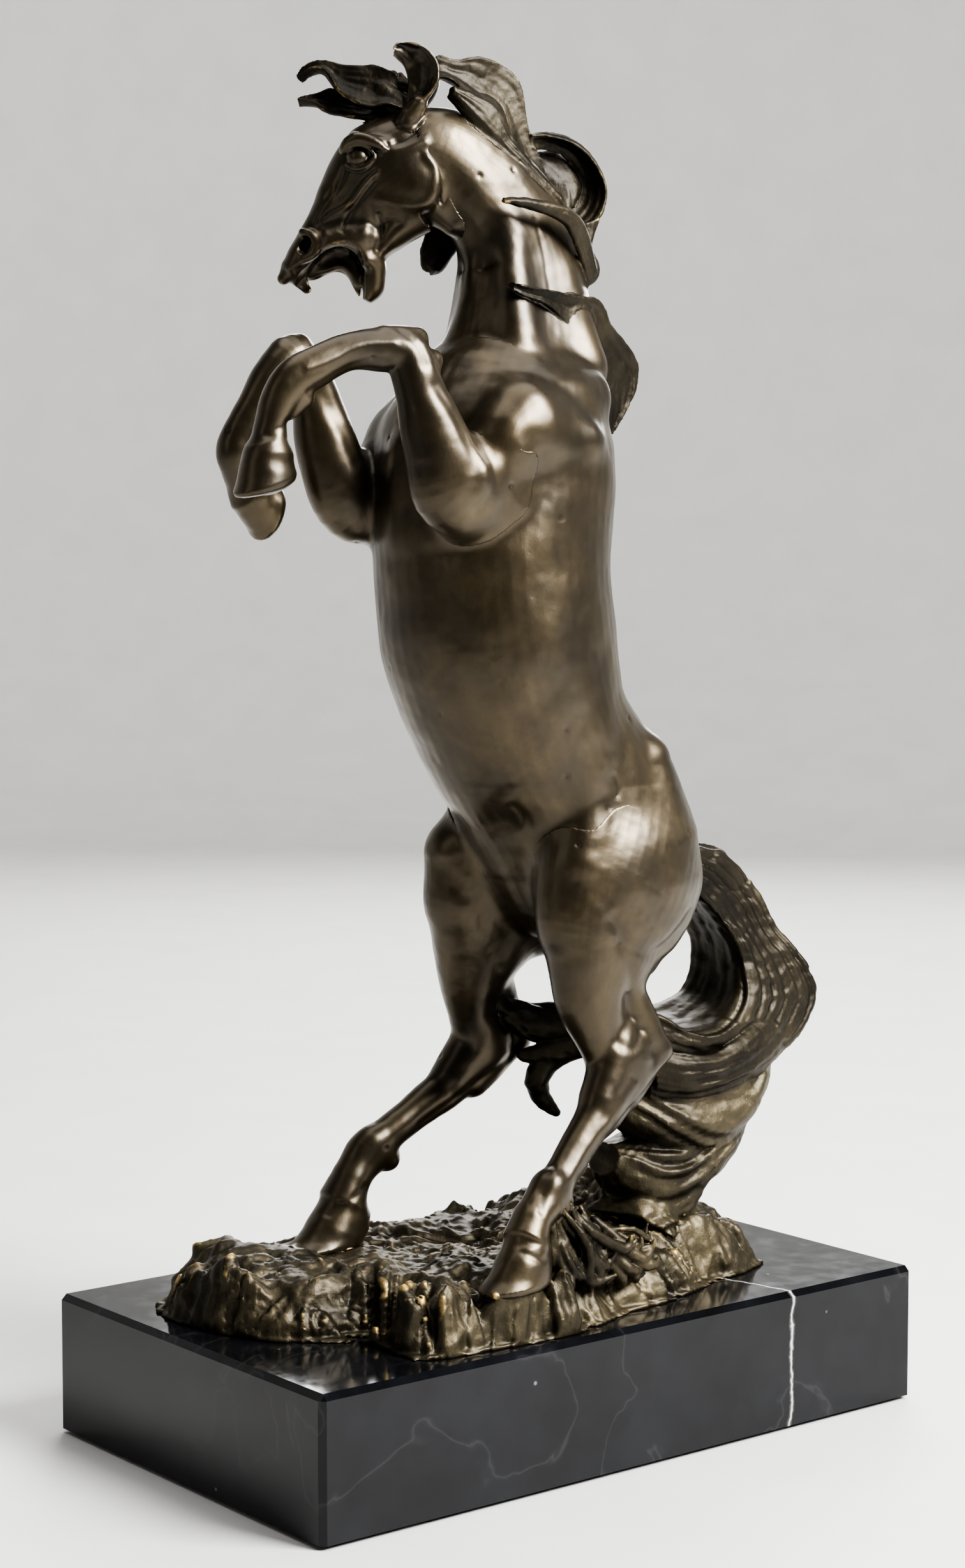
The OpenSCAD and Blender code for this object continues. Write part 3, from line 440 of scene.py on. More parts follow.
def head_form(f):
    rows = [[6, 0, 452, 9, 7], [0, 0, 449, 14, 10.5], [-7, 0, 445.5, 17.5, 12.5, 0.05],
            [-14, 0, 440.5, 19.5, 13, 0.05], [-21, 0, 435, 17, 11], [-28, 0, 428.5, 13, 8.5],
            [-34, 0, 422.5, 9, 7], [-40, 0, 416.5, 6.8, 6.6], [-45, 0, 411.5, 5.0, 6.2],
            [-48.5, 0, 408, 2.6, 4.2]]
    head_loft(f, rows)
    for s in (-1, 1):
        ball(f, [-5, s * 8, 436], 9.5, [-9, s * 7.5, 434.5], 9.5, 3, flat=([0, 1, 0], 0.5))
        ball(f, [-28.5, s * 9.5, 448], 1.8, [-25, s * 10.8, 451], 2, 2)
        ball(f, [-25, s * 10.8, 451], 2, [-14, s * 10.6, 449], 2, 2.5)
        ball(f, [-20, s * 9.8, 438.5], 1.8, [-27, s * 7.6, 430], 1.4, 2)
        ball(f, [-27, s * 7.6, 430], 1.4, [-34, s * 6, 426.5], 1, 2)
    # The nose's tip and the drooping upper lip.
    ball(f, [-47.5, 0, 408], 4, [-50, 0, 405.4], 2.2, 2)
    ball(f, [-46, 1, 407], 3.4, [-42.3, 1.5, 402], 1.7, 1.5)
    # Lower jaw and chin.
    head_loft(f, [[-6, 0, 428, 9, 9], [-13, 0, 421, 6.5, 7.5], [-18.5, 0, 414, 4.0, 6.2],
                  [-19, 0, 408, 4.0, 5.8], [-20, 0, 402, 4.0, 4.6], [-22, 0, 398, 2, 2.6]], 3)
    # Skin of both cheeks between the jaws, lower on the far side.
    for s, rows in ((1, ([-41, 5, 408], [-35.5, 5.2, 410.5], [-31, 5, 412], [-27, 5, 410],
                         [-24.5, 5, 405])),
                    (-1, ([-40, -5, 414], [-34, -5.2, 417], [-29, -5.4, 419.5], [-25, -5.4, 417],
                          [-21.5, -5, 411]))):
        for p, q in zip(rows, rows[1:]):
            ball(f, p, 2.4, q, 2.4, 4)
    # The far cheek, which closes the mouth on that side, and the flesh above it on both sides.
    lock(f, [[-45, 5, 411, -45, 5, 405.6], [-40, 5.3, 414, -39.6, 5.3, 405.4],
             [-34, 5.6, 417, -33.5, 5.6, 408], [-29, 5.8, 417, -29, 5.8, 407],
             [-26, 5.6, 415, -26.2, 5.6, 402.5], [-22, 5, 411, -24.3, 5, 399.5]],
         1.5, 0.5, ridges=3, depth=0.4, seed=15)
    for s in (1, -1):
        ball(f, [-36, s * 4.5, 417], 4, [-23, s * 4.6, 419.5], 4.4, 4)
    # The open mouth, cut up from below between the cheeks.
    mouth = ([-43, -1.5, 403, 1], [-38, -1.5, 408, 1.2], [-32, -1.2, 412.5, 1.3],
             [-27.5, -1.2, 411, 1.2], [-25.5, -1.2, 405, 1.1], [-26, -1, 398, 1.1])
    head_chain(f, mouth, 3.2, 1.0, carve=True)
    near = ([-46, -7, 405.5, 0.9], [-40, -7, 408.5, 1], [-33, -7, 412, 1.2],
            [-27.5, -7.5, 412, 1.25], [-26, -7.5, 405, 1.1])
    head_chain(f, near, 3.4, 0.6, carve=True)
    for s in (-1, 1):
        # Nostril, eye socket, eyeball and lids.
        head_chain(f, [[-43.6, s * 5.2, 420.6, 0.8], [-40.6, s * 6.4, 419.6, 1],
                       [-38.8, s * 6.6, 416.6, 1], [-39.6, s * 6.2, 413.4, 1],
                       [-43, s * 5.6, 411.6, 0.8]], 1.7, 1.4)
        ball(f, [-43.6, s * 7.2, 415.4], 2.3, [-42, s * 6.4, 417.2], 1.8, 0.8, carve=True)
        ball(f, [-42.6, s * 5, 416], 1.6, [-40, s * 4, 418], 1.0, 0.5, carve=True)
        ball(f, [-26.2, s * 13.2, 445.6], 3.4, [-22.4, s * 13.6, 445.8], 3.0, 1.2, carve=True)
        ball(f, [-19.5, s * 14.6, 446], 2.6, [-16, s * 14.4, 445], 1.6, 1.5, carve=True)
        ball(f, [-24.6, s * 8.9, 445.0], 3.5, [-24, s * 8.9, 445.0], 3.5, 0.2)
        head_chain(f, [[-29.4, s * 8.8, 447, 0.7], [-27.6, s * 10.8, 449.8, 1],
                       [-23.6, s * 12.0, 451, 1.1], [-19, s * 12.4, 449.6, 1],
                       [-15, s * 12.2, 447.6, 0.6]], 1.7, 0.9)
        head_chain(f, [[-28.4, s * 9.8, 446.4, 0.6], [-26.4, s * 11.4, 448.4, 1],
                       [-23.6, s * 12.2, 448.9, 1], [-20.6, s * 12.2, 447.6, 0.8],
                       [-18.8, s * 12, 445.6, 0.6]], 0.8, 0.3)
        head_chain(f, [[-28.4, s * 9.2, 442.6, 0.7], [-25.6, s * 10.6, 441.4, 1],
                       [-22, s * 11.4, 441.8, 1], [-19, s * 12.0, 444.6, 0.7]], 0.8, 1.2)
        # The throat, which runs on into the neck.
        ball(f, [-8, s * 2, 430.4], 5.6, [2, s * 1.4, 429.8], 5.2, 3)
        ball(f, [2, s * 1.4, 429.6], 5.0, [7.6, s * 0.8, 424], 3.4, 4)


def ear_form(s):
    rows = [[-9, 8, 455, -10, 5, 455], [-6, 9.5, 460, -9, 5, 460], [-2.5, 10, 464, -8, 5.5, 464],
            [1, 10, 467.5, -7.5, 5, 468], [2.8, 9.5, 471, -7.5, 4, 471.5], [3, 9, 475, -8, 4, 475],
            [1.6, 8.5, 478.5, -9, 5, 478], [-2, 8, 482, -11, 6, 480],
            [-6.5, 8, 483.4, -11.8, 7, 480.8], [-10, 8, 483.4, -12.6, 7.4, 481.6]]
    R = [[a, s * b, c, d, s * e, g] for a, b, c, d, e, g in rows]

    def form(f):
        lock(f, R, 1.5, s * 2.6, ridges=3, depth=0.25, seed=5)
        ball(f, [-8, s * 7, 457], 4, [-4, s * 7.4, 463], 3, 2)
    return form


def forelock_form(f):
    lock(f, [[-6, -4, 460, -8, 2, 470], [-14, -6, 463, -12, 0, 474], [-20, -6, 462, -18, 0, 477],
             [-26, -6, 464, -25, 0, 477], [-31, -5, 467.5, -30, 1, 477.5],
             [-35, -3, 474, -34, 1, 478.5], [-39, -2, 475.6, -38, 1, 478.8],
             [-43, -1, 474.6, -42.5, 1, 476.8], [-45.5, 0, 473, -45.5, 1, 474]],
         1.5, 2.2, ridges=6, depth=0.8, seed=11)
    lock(f, [[-7, -2, 457, -8, 3, 466], [-16, -2, 458.5, -16, 3, 466],
             [-24, -2, 459.2, -24, 3, 467], [-30, -1, 460, -30, 3, 468.5],
             [-35, 0, 461, -34, 3, 470], [-39, 0, 463.8, -38.5, 3, 468],
             [-42.5, 0, 464.8, -42.5, 2, 467], [-45, 1, 465.4, -45, 2, 466.2]],
         1.6, 1.5, ridges=4, depth=0.6, seed=12)
    for p, r, q, s in (([-9, 0, 462], 5, [-16, 0, 468], 4),
                       ([-14, 1, 471], 2.4, [-10, 1, 470.5], 2.2),
                       ([-17, 1, 474], 1.8, [-12.5, 1, 474], 1.6),
                       ([-10, 2, 474], 1.2, [-8, 1, 470], 2)):
        ball(f, p, r, q, s, 1.0)


def mane_crest_form(f):
    lock(f, [[-2, 2, 471, 0, 2, 478], [3, 0, 472.8, 3, 3, 481], [8, 1, 471.8, 9, 7, 480],
             [13, 4, 466, 17, 11, 482], [19, 7, 461, 25, 17, 480], [24, 10, 456, 31, 20, 475],
             [28, 12, 451, 33, 21, 466], [31, 14, 446, 34.5, 22, 458], [34, 16, 441, 38, 24, 450],
             [38, 19, 436, 41, 26, 442], [42, 21, 431, 43, 26, 434]],
         1.7, -3, ridges=4, depth=0.7, seed=21)
    lock(f, [[6, -4, 466, 7, -3, 469.5], [11, -3, 461, 13, 1, 468.5], [16, -1, 456, 19.5, 5, 468],
             [20, 1, 452, 24, 8, 464], [24, 4, 448, 26, 9, 457], [30, 7, 443, 31, 12, 448],
             [37, 12, 437, 38, 16, 441], [43, 17, 432, 44, 19, 434.5]],
         2.0, 1.5, ridges=4, depth=1.1, seed=22)


def mane_curl_form(f):
    lock(f, [[36, 22, 452, 35, 21, 457], [41, 30, 453, 41, 24, 457.5], [47, 36, 452, 50, 30, 456],
             [51, 40, 448, 57, 34, 451.5], [52, 41, 442, 62, 37, 444], [51, 40, 436, 63, 37, 437],
             [47, 36, 432, 60, 35, 429.5], [43, 30, 432, 54, 30, 424.5], [39, 24, 434, 46, 25, 428],
             [36, 20, 437, 39, 21, 432]], 1.8, -2.5, ridges=4, depth=1.0, seed=31)
    # The back of the hollow.
    lock(f, [[38, 37, 453, 35, 30, 447], [44, 40, 454, 37, 32, 443], [51, 41, 449, 40, 33, 439],
             [54, 40, 441, 43, 33, 435], [51, 38, 434, 44, 31, 431]],
         1.4, -1.5, ridges=3, depth=0.6, seed=33)
    lock(f, [[52, 29, 427, 60, 33, 430], [53, 30, 422, 58, 32, 424], [53.5, 28, 416, 56, 30, 416]],
         1.8, 0.5, ridges=3, depth=0.5, seed=32)
    head_chain(f, [[54, 29, 418, 1.2], [57, 30, 413.5, 1], [57.5, 30, 410, 0.9],
                   [55, 29, 407.5, 0.8], [52.5, 27, 409, 0.5]], 2.4, 1.0)


def mane_ridge_form(f):
    lock(f, [[24, -12, 430, 24.5, -12.5, 431.5], [31, -8, 428.5, 31, -9, 432],
             [39, -2, 427, 40, -2.5, 431.5], [46, 4, 424, 48, 5, 430], [50, 11, 418, 53, 14, 426],
             [53, 18, 411, 56, 21, 419], [55, 23, 405, 58, 26, 412]],
         1.3, 0.8, ridges=3, depth=0.7, seed=41)


def mane_shoulder_form(f):
    lock(f, [[24, -15, 403, 23, -15.5, 404.5], [31, -11, 399, 31, -12, 402.5],
             [40, -4, 396, 41, -4, 401.5], [47, 5, 390, 50, 6, 400.5], [52, 13, 384, 59, 18, 400],
             [54, 18, 375, 64, 25, 392], [57, 22, 366, 69, 32, 387], [60, 26, 359, 74, 38, 380],
             [61, 28, 355, 73.5, 38, 370], [62, 30, 352, 68, 34, 359],
             [63, 31, 350, 64, 32, 352.5]],
         1.6, -2, ridges=5, depth=0.9, seed=51)


def mane_right_form(f):
    sheets(f, [[-2, -10, 442, -6, -6, 446], [-6, -5, 434, -14, -2, 440],
               [-10, -1, 427, -20, 2, 433], [-14, 2, 419, -25, 4, 426],
               [-18, 4, 412, -28.5, 5, 418], [-21, 5, 409, -28, 5.5, 412],
               [-24, 5, 408.5, -26, 5, 409.5]], 1.8, -1.5, ridges=5, depth=0.8, seed=61)
    sheets(f, [[6, -10, 438, 0, -8, 443], [6, -4, 428, -4, -3, 434], [6, 0, 416, -5, 1, 421],
               [8, 1, 404, -1, 3, 408], [10, 0, 396, 5, 2, 398]],
           1.8, -1.5, ridges=5, depth=0.8, seed=62)
    sheets(f, [[16, -11, 430, 8, -9, 436], [19, -6, 418, 8, -5, 424], [22, -4, 404, 12, -2, 409],
               [25, -6, 392, 18, -3, 394]], 1.8, -1.5, ridges=5, depth=0.8, seed=63)


def tail_form(f):
    sheets(f, [[50, -24, 196, 54, -20, 208], [62, -29, 192, 72, -24, 205],
               [72, -31, 186, 90, -23, 201], [80, -32, 178, 105, -23, 188],
               [87, -34, 168, 114, -26, 172], [89, -36, 158, 125, -31, 158],
               [87, -39, 149, 129, -33, 144], [79, -42, 142, 116, -36, 131],
               [66, -44, 138, 92, -41, 122], [54, -43, 141, 70, -44, 116],
               [45, -41, 147, 50, -43, 114], [38, -38, 150, 38, -41, 118]],
           3.2, -2.5, ridges=6, depth=2.0, seed=71, k=8, m=120)
    sheets(f, [[54, -26, 198, 62, -6, 199], [72, -30, 187, 80, -6, 186],
               [81, -31, 178, 87, -5, 176], [88, -33, 167, 91, -5, 166],
               [89, -35, 157, 91, -5, 156], [86, -38, 149, 86, -6, 149],
               [78, -41, 142, 79, -7, 146], [66, -43, 138, 68, -8, 144],
               [52, -42, 140, 54, -9, 145],
               [42, -40, 146, 42, -10, 148]], 2.6, 2, ridges=4, depth=0.9, seed=72, m=100)
    sheets(f, [[60, -8, 202, 70, -22, 206], [80, -6, 190, 92, -20, 202],
               [90, -5, 180, 106, -20, 188], [96, -6, 167, 114, -22, 172],
               [97, -8, 155, 122, -27, 158], [93, -10, 145, 124, -30, 145],
               [84, -12, 137, 112, -32, 132], [72, -14, 132, 90, -34, 122],
               [58, -14, 132, 70, -36, 117],
               [44, -12, 136, 52, -34, 116]], 3, 3, ridges=5, depth=1.8, seed=73, m=100)
    # The lower lock, whose rim stands off the column.
    sheets(f, [[100, -30, 150, 124, -31, 140], [92, -38, 142, 114, -34, 130],
               [78, -44, 136, 100, -40, 124], [62, -47, 132, 78, -44, 118],
               [48, -46, 134, 56, -44, 116], [38, -42, 138, 40, -41, 118]],
           2.0, 2.0, ridges=4, depth=1.4, seed=74, m=90)


def tail_swirl_form(f):
    for rows, n, seed in (
            ([[98, -30, 131, 8, 9], [90, -32, 118, 12, 12], [74, -34, 110, 14, 14],
              [56, -34, 109, 14, 14], [40, -30, 113, 10, 11], [30, -26, 118, 4, 6]], 9, 81),
            ([[94, -26, 116, 7, 8], [82, -27, 101, 11, 13], [62, -28, 91, 14, 16],
              [44, -28, 90, 14, 16], [28, -28, 95, 6, 8]], 10, 82),
            ([[76, -24, 97, 8, 10], [62, -24, 83, 13, 16], [48, -24, 75, 15, 19],
              [40, -26, 66, 16, 21]], 10, 83)):
        add_mesh(f, loft(rows, m=96, ridges=grooves(n, 0.13, seed)), 2.0)


def tail_wisp_form(f):
    add_mesh(f, loft([[46, -16, 140, 6, 8], [34, -4, 141, 7, 7], [22, 3, 141, 7, 5],
                      [12, 6, 146, 5, 3.6], [6, 7, 153, 2.4, 2]], m=64,
                     ridges=grooves(6, 0.14, 91)), 1)
    chain(f, [[40, -8, 138, 1], [30, 0, 130, 0.9], [23, 3, 122, 0.7], [25, 4, 114, 0.6],
              [31, 2, 107, 0.3]],
          6, 1.5)
    chain(f, [[38, -10, 134, 1], [28, -2, 131, 0.9], [18, 5, 129, 0.5]], 5, 1.5)
    chain(f, [[34, -6, 142, 1], [33, -1, 149, 0.5]], 4, 1.5)


def node_mesh(name):
    """A CAD node's own mesh in millimetres."""
    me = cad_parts[name].data
    me.calc_loop_triangles()
    co = np.empty(len(me.vertices) * 3, np.float32)
    me.vertices.foreach_get("co", co)
    tri = np.empty(len(me.loop_triangles) * 3, np.int32)
    me.loop_triangles.foreach_get("vertices", tri)
    return co.reshape(-1, 3).astype(float) * TO_MM, np.zeros((0, 4), int), tri.reshape(-1, 3)


def box_blur(a, r):
    """A running mean over 2r + 1 cells along both axes of a 2-D array."""
    for ax in (0, 1):
        pad = [(0, 0), (0, 0)]
        pad[ax] = (r + 1, r)
        c = np.cumsum(np.pad(a, pad, mode="edge"), axis=ax)
        n = a.shape[ax]
        a = (np.take(c, np.arange(n) + 2 * r + 1, ax) - np.take(c, np.arange(n), ax)) / (2 * r + 1)
    return a


def ridged(P, seed):
    """Noise with sharp ridges, between -1 and 1."""
    return 1 - 2 * np.abs(noise(P, seed))


MARBLE_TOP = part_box("plinth")[1][2] * TO_MM
BELOW = MARBLE_TOP - 12    # a height that stands for no rock
# Rows x, y, half length, half width, height above the marble: one flat step, then round lumps.
UNDER_HOOF = [-46, -66, 17, 10, 17.5]
MOUNDS = [[-47, -64, 17, 11, 19], [-62, 20, 24, 16, 18], [-112, 4, 9, 14, 22],
          [-100, -30, 9, 9, 20], [-30, -72, 14, 7, 19], [-70, -50, 12, 10, 20]]


def ground_form(f):
    """The CAD's ground as a height map, carved into folds of rock round its rim."""
    add_mesh(f, node_mesh("ground"))
    z = (np.arange(f.n[2]) + f.i0[2]) * f.h
    solid = f.d < 0
    top = np.where(solid.any(2), z[f.n[2] - 1 - np.argmax(solid[:, :, ::-1], 2)], BELOW)
    x = ((np.arange(f.n[0]) + f.i0[0]) * f.h)[:, None] + 0 * top
    y = ((np.arange(f.n[1]) + f.i0[1]) * f.h)[None, :] + 0 * top
    inside = (top > MARBLE_TOP).astype(float)
    # How far in from the outline each point is, up to 18 steps.
    depth = np.zeros_like(top)
    grow = inside
    for _ in range(18):
        grow = (box_blur(grow, 1) > 0.99).astype(float)
        depth += grow * f.h
    low = box_blur(box_blur(top, 2), 3)
    top = np.where(inside > 0, 0.4 * top + 0.6 * low, top)
    for cx, cy, sx, sy, high in MOUNDS:
        lump = high * np.exp(-((x - cx) / sx) ** 2 - ((y - cy) / sy) ** 2)
        top = np.where(inside > 0, np.maximum(top, MARBLE_TOP + lump), top)

    def flat(*ab):
        """Points of a plane, for noise."""
        return np.dstack([*ab, 0 * x])

    P = np.stack([x, y], -1)
    w = P + 5 * np.stack([noise(flat(P / 17), 31), noise(flat(P / 17), 32)], -1)
    round_ = np.arctan2(w[..., 1] * 1.5 + 10, w[..., 0] + 12)
    rim = np.exp(-((depth - 5) / 8) ** 2)
    fold = ridged(flat(round_ * 7.5, depth / 26), 33)
    fold2 = ridged(flat(round_ * 17 + depth * 0.08, depth / 16), 34)
    wx, wy = w[..., 0], w[..., 1]
    streak = ridged(flat((wx + 0.5 * wy) / 26, (wy - 0.25 * wx) / 7), 35)
    fine = ridged(flat(wx / 9, wy / 3.6), 36)
    lump = ridged(flat(w / 13), 37)
    inner = 1.3 * streak + 0.5 * fine
    top = top + rim * (3.6 * (fold - 0.25) + 2.0 * (fold2 - 0.2)) + (1 - rim) * inner
    top = top + 1.3 * lump * np.clip(depth / 8, 0, 1)
    edge = depth + 1.6 * (fold - 0.3) + 1.2 * (fold2 - 0.3) + 0.8 * noise(flat(P / 5), 38)
    rise = np.clip((edge - 0.2) / 5.5, 0, 1) ** 0.55
    top = np.where(inside > 0, MARBLE_TOP + (top - MARBLE_TOP) * rise, top)
    top = np.where(inside > 0, np.maximum(top, MARBLE_TOP + 1.2 * np.clip(edge + 2, 0, 1)), BELOW)
    cx, cy, sx, sy, high = UNDER_HOOF
    step = high * np.exp(-(((x - cx) / sx) ** 4) - ((y - cy) / sy) ** 4)
    under = MARBLE_TOP + step * np.clip(edge / 2.5, 0, 1)
    top = np.where(inside > 0, np.maximum(top, under), top)
    gx, gy = np.gradient(top, f.h)
    steep = np.sqrt(1 + np.minimum(gx * gx + gy * gy, 9))
    d = (z[None, None, :] - top[..., None]) / steep[..., None]
    d = np.maximum(d, MARBLE_TOP - z[None, None, :])
    f.d = np.clip(d, -BAND, BAND).astype(np.float32)


def grass_form(f):
    """Strands combed down from the fetlock and along the rock to the right."""
    r = np.random.default_rng(5)
    for i in range(70):
        t = i / 69
        a = np.array([-27 + 24 * t + r.uniform(-4, 4), -64 + r.uniform(-3, 8),
                      94 - 14 * t + r.uniform(-4, 3)])
        c = np.array([a[0] + r.uniform(0, 22), -66 + r.uniform(-3, 5), 66 + r.uniform(-3, 9)])
        m = (a + c) / 2 + [r.uniform(-6, 4), r.uniform(-3, 3), r.uniform(-3, 5)]
        e = c + [r.uniform(-3, 11), r.uniform(-2, 3), r.uniform(-3, 7)]
        chain(f, [[*a, 0.5], [*m, 1], [*c, 1.15], [*e, 0.4]], r.uniform(1.1, 1.9), 0.5)


# Pitch of the lattice, how smoothly it joins what comes before it, and its form.
SPEC = {
    "torso": (0.95, 0, body_form("torso")), "neck": (0.7, 5, body_form("neck")),
    "head": (0.45, 4, head_form),
    "foreleg_left": (0.6, 7, body_form("foreleg_left")),
    "foreleg_right": (0.6, 7, body_form("foreleg_right")),
    "hindleg_left": (0.6, 9, body_form("hindleg_left")),
    "hindleg_right": (0.6, 9, body_form("hindleg_right")),
    "ear_left": (0.4, 1.5, ear_form(-1)), "ear_right": (0.4, 1.5, ear_form(1)),
    "forelock": (0.4, 1.2, forelock_form), "mane_crest": (0.45, 1.5, mane_crest_form),
    "mane_curl": (0.45, 1.0, mane_curl_form), "mane_ridge": (0.45, 1.5, mane_ridge_form),
    "mane_shoulder": (0.5, 1.5, mane_shoulder_form), "mane_right": (0.5, 1.5, mane_right_form),
    "tail": (0.65, 1.5, tail_form), "tail_swirl": (0.65, 2.0, tail_swirl_form),
    "tail_wisp": (0.6, 1.0, tail_wisp_form),
    "ground": (0.88, 0.8, ground_form), "grass": (0.6, 0.8, grass_form),
}
ORDER = list(SPEC)
LAP = 1.6      # how far a piece runs on under its neighbour
SINK = 0.05    # how steeply it dives there
DEEP = 3.0     # how far under the neighbour's skin it may go
MARGIN = 7.0   # room left round a node's box


def own_box(name):
    """A node's box in millimetres, with room round it."""
    lo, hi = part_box(name)
    return np.array(lo) * TO_MM - MARGIN, np.array(hi) * TO_MM + MARGIN


_forms = {}


def node_field(name):
    """A node's own forms, made once on its own lattice."""
    if name not in _forms:
        f = Field(*own_box(name), SPEC[name][0])
        SPEC[name][2](f)
        _forms[name] = f
    return _forms[name]


def sampled(src, F):
    """src's distances on F's lattice, by linear interpolation along each axis."""
    if src.h == F.h:
        out = np.full(F.d.shape, FAR, np.float32)
        a = np.maximum(src.i0 - F.i0, 0)
        b = np.minimum(src.i0 - F.i0 + src.n, F.n)
        if np.all(b > a):
            o = F.i0 - src.i0
            out[tuple(slice(p, q) for p, q in zip(a, b))] = \
                src.d[tuple(slice(p, q) for p, q in zip(a + o, b + o))]
        return out
    d, outside = src.d, []
    for ax in range(3):
        x = (np.arange(F.n[ax]) + F.i0[ax]) * F.h / src.h - src.i0[ax]
        outside.append((x < 0) | (x > src.n[ax] - 1))
        x = np.clip(x, 0, src.n[ax] - 1.001)
        i = np.floor(x).astype(int)
        shape = [1, 1, 1]
        shape[ax] = -1
        t = (x - i).astype(np.float32).reshape(shape)
        d = np.take(d, i, ax) * (1 - t) + np.take(d, i + 1, ax) * t
    for ax in range(3):
        sl = [slice(None)] * 3
        sl[ax] = outside[ax]
        d[tuple(sl)] = FAR
    return d


def piece_field(name):
    """The whole bronze round a node, cut back to the node's own share of it."""
    lo, hi = own_box(name)
    U = Field(lo, hi, SPEC[name][0])
    own, cutters = None, []
    for n in ORDER:
        blo, bhi = own_box(n)
        if np.any(blo > hi) or np.any(bhi < lo):
            continue
        d = sampled(node_field(n), U)
        U.d = smin(U.d, d, SPEC[n][1])
        if n == name:
            own = d
        else:
            cutters.append((ORDER.index(n) < ORDER.index(name), d))
    out = U.d
    for earlier, d in cutters:
        gap = own - d
        out = np.where(gap > 0, np.maximum(out, U.d + SINK * gap), out)
        if earlier:
            out = np.maximum(out, np.maximum(gap - LAP, -(d + DEEP)))
        else:
            out = np.maximum(out, np.minimum(gap - LAP, own + DEEP))
    U.d = out
    return U


def polygons(F):
    """The field's zero surface as points and quads."""
    bg = 3 * F.h
    g = vdb.FloatGrid(bg)
    g.transform = vdb.createLinearTransform(voxelSize=F.h)
    g.copyFromArray(np.clip(F.d, -bg, bg), ijk=tuple(int(v) for v in F.i0), tolerance=1e-4)
    pts, _, quads = g.convertToPolygons(0.0, 0.0)
    return pts.astype(float), quads.astype(int)


def edges(quads):
    """Both ends of every side of every quad."""
    return np.concatenate([quads[:, [j, (j + 1) % 4]] for j in range(4)])


def largest(pts, quads, share=0.03):
    """Drops loose crumbs and inner walls: keeps the parts with over a share of the corners."""
    lab = np.arange(len(pts))
    e = edges(quads)
    while True:
        m = np.minimum(lab[e[:, 0]], lab[e[:, 1]])
        new = lab.copy()
        np.minimum.at(new, e[:, 0], m)
        np.minimum.at(new, e[:, 1], m)
        new = new[new]
        if np.array_equal(new, lab):
            break
        lab = new
    ids, counts = np.unique(lab, return_counts=True)
    keep = np.isin(lab, ids[counts >= max(share * len(pts), counts.max() * share)])
    # An inner wall faces inwards, so its volume is negative.
    for i in ids[counts >= share * len(pts)]:
        q = quads[lab[quads[:, 0]] == i]
        a, b, c, d = (pts[q[:, j]] for j in range(4))
        vol = (a * np.cross(b, c)).sum() + (a * np.cross(c, d)).sum()
        if vol < 0:
            keep &= lab != i
    idx = np.cumsum(keep) - 1
    quads = quads[keep[quads].all(1)]
    return pts[keep], idx[quads]


# ---- Meshes: normals, curvature and relief ----

class Skin:
    """One piece's vertices, with what relief needs."""

    def __init__(self, pts, quads):
        self.v, self.q = pts, quads
        e = np.unique(np.sort(edges(quads), 1), axis=0)
        self.a, self.b = e[:, 0], e[:, 1]
        self.deg = np.bincount(e.ravel(), minlength=len(pts)).astype(float)
        self.measure()

    def gather(self, x):
        """The mean of each vertex's neighbours."""
        if x.ndim == 2:
            return np.stack([self.gather(x[:, i]) for i in range(x.shape[1])], 1)
        n = len(self.v)
        s = np.bincount(self.a, x[self.b], n) + np.bincount(self.b, x[self.a], n)
        return s / self.deg

    def blur(self, x, times):
        for _ in range(times):
            x = 0.5 * x + 0.5 * self.gather(x)
        return x

    def measure(self):
        v, q = self.v, self.q
        fn = np.cross(v[q[:, 2]] - v[q[:, 0]], v[q[:, 3]] - v[q[:, 1]])
        n = np.zeros_like(v)
        for j in range(4):
            for i in range(3):
                n[:, i] += np.bincount(q[:, j], fn[:, i], len(v))
        self.n = unit(n)

    def bend(self, times):
        """How far each vertex stands proud of the surface round it, in mm."""
        s = self.v - self.blur(self.v, times)
        return (s * self.n).sum(1)

    def push(self, d):
        self.v = self.v + self.n * d[:, None]
        self.measure()


def cells(P, size, seed):
    """Distance to the nearest of scattered points, one to a cell, in cells."""
    P = P / size
    i = np.floor(P).astype(np.int64)
    best = np.full(len(P), 9.0)
    for a in (-1, 0, 1):
        for b in (-1, 0, 1):
            for c in (-1, 0, 1):
                j = i + np.array([a, b, c])
                o = np.stack([_hash(*j.T, seed + s) for s in range(3)], 1) * 0.5 + 0.5
                best = np.minimum(best, np.linalg.norm(j + o - P, axis=1))
    return best


def stroke_distance(P, line):
    """Distance from points P to a smooth line through the rows of line."""
    L = smooth_rows(line, 5)
    best = np.full(len(P), 1e9)
    for p, q in zip(L, L[1:]):
        v = q - p
        t = np.clip(((P - p) @ v) / (v @ v + 1e-9), 0, 1)
        best = np.minimum(best, ((P - p - t[:, None] * v) ** 2).sum(1))
    return np.sqrt(best)


def strokes(sk, groups, local, wide, high):
    """Grooves (negative) and veins (positive) drawn on one side. Each group gives the side that
    they are on, the range of y, and its lines: points x, z, then the half width and the height."""
    P = (sk.v - HEAD_AT) @ HEAD_ROT if local else sk.v
    N = sk.n @ HEAD_ROT if local else sk.n
    out = np.zeros(len(P))
    for side, (y0, y1), lines in groups:
        on = np.flatnonzero((N[:, 1] * side > 0.05) & (P[:, 1] > y0) & (P[:, 1] < y1))
        face = np.clip(N[on, 1] * side * 2.5, 0, 1)
        for line, width, height in lines:
            d = stroke_distance(P[on][:, [0, 2]], line) / (width * wide)
            out[on] += height * high * np.exp(-d * d) * face
    return out


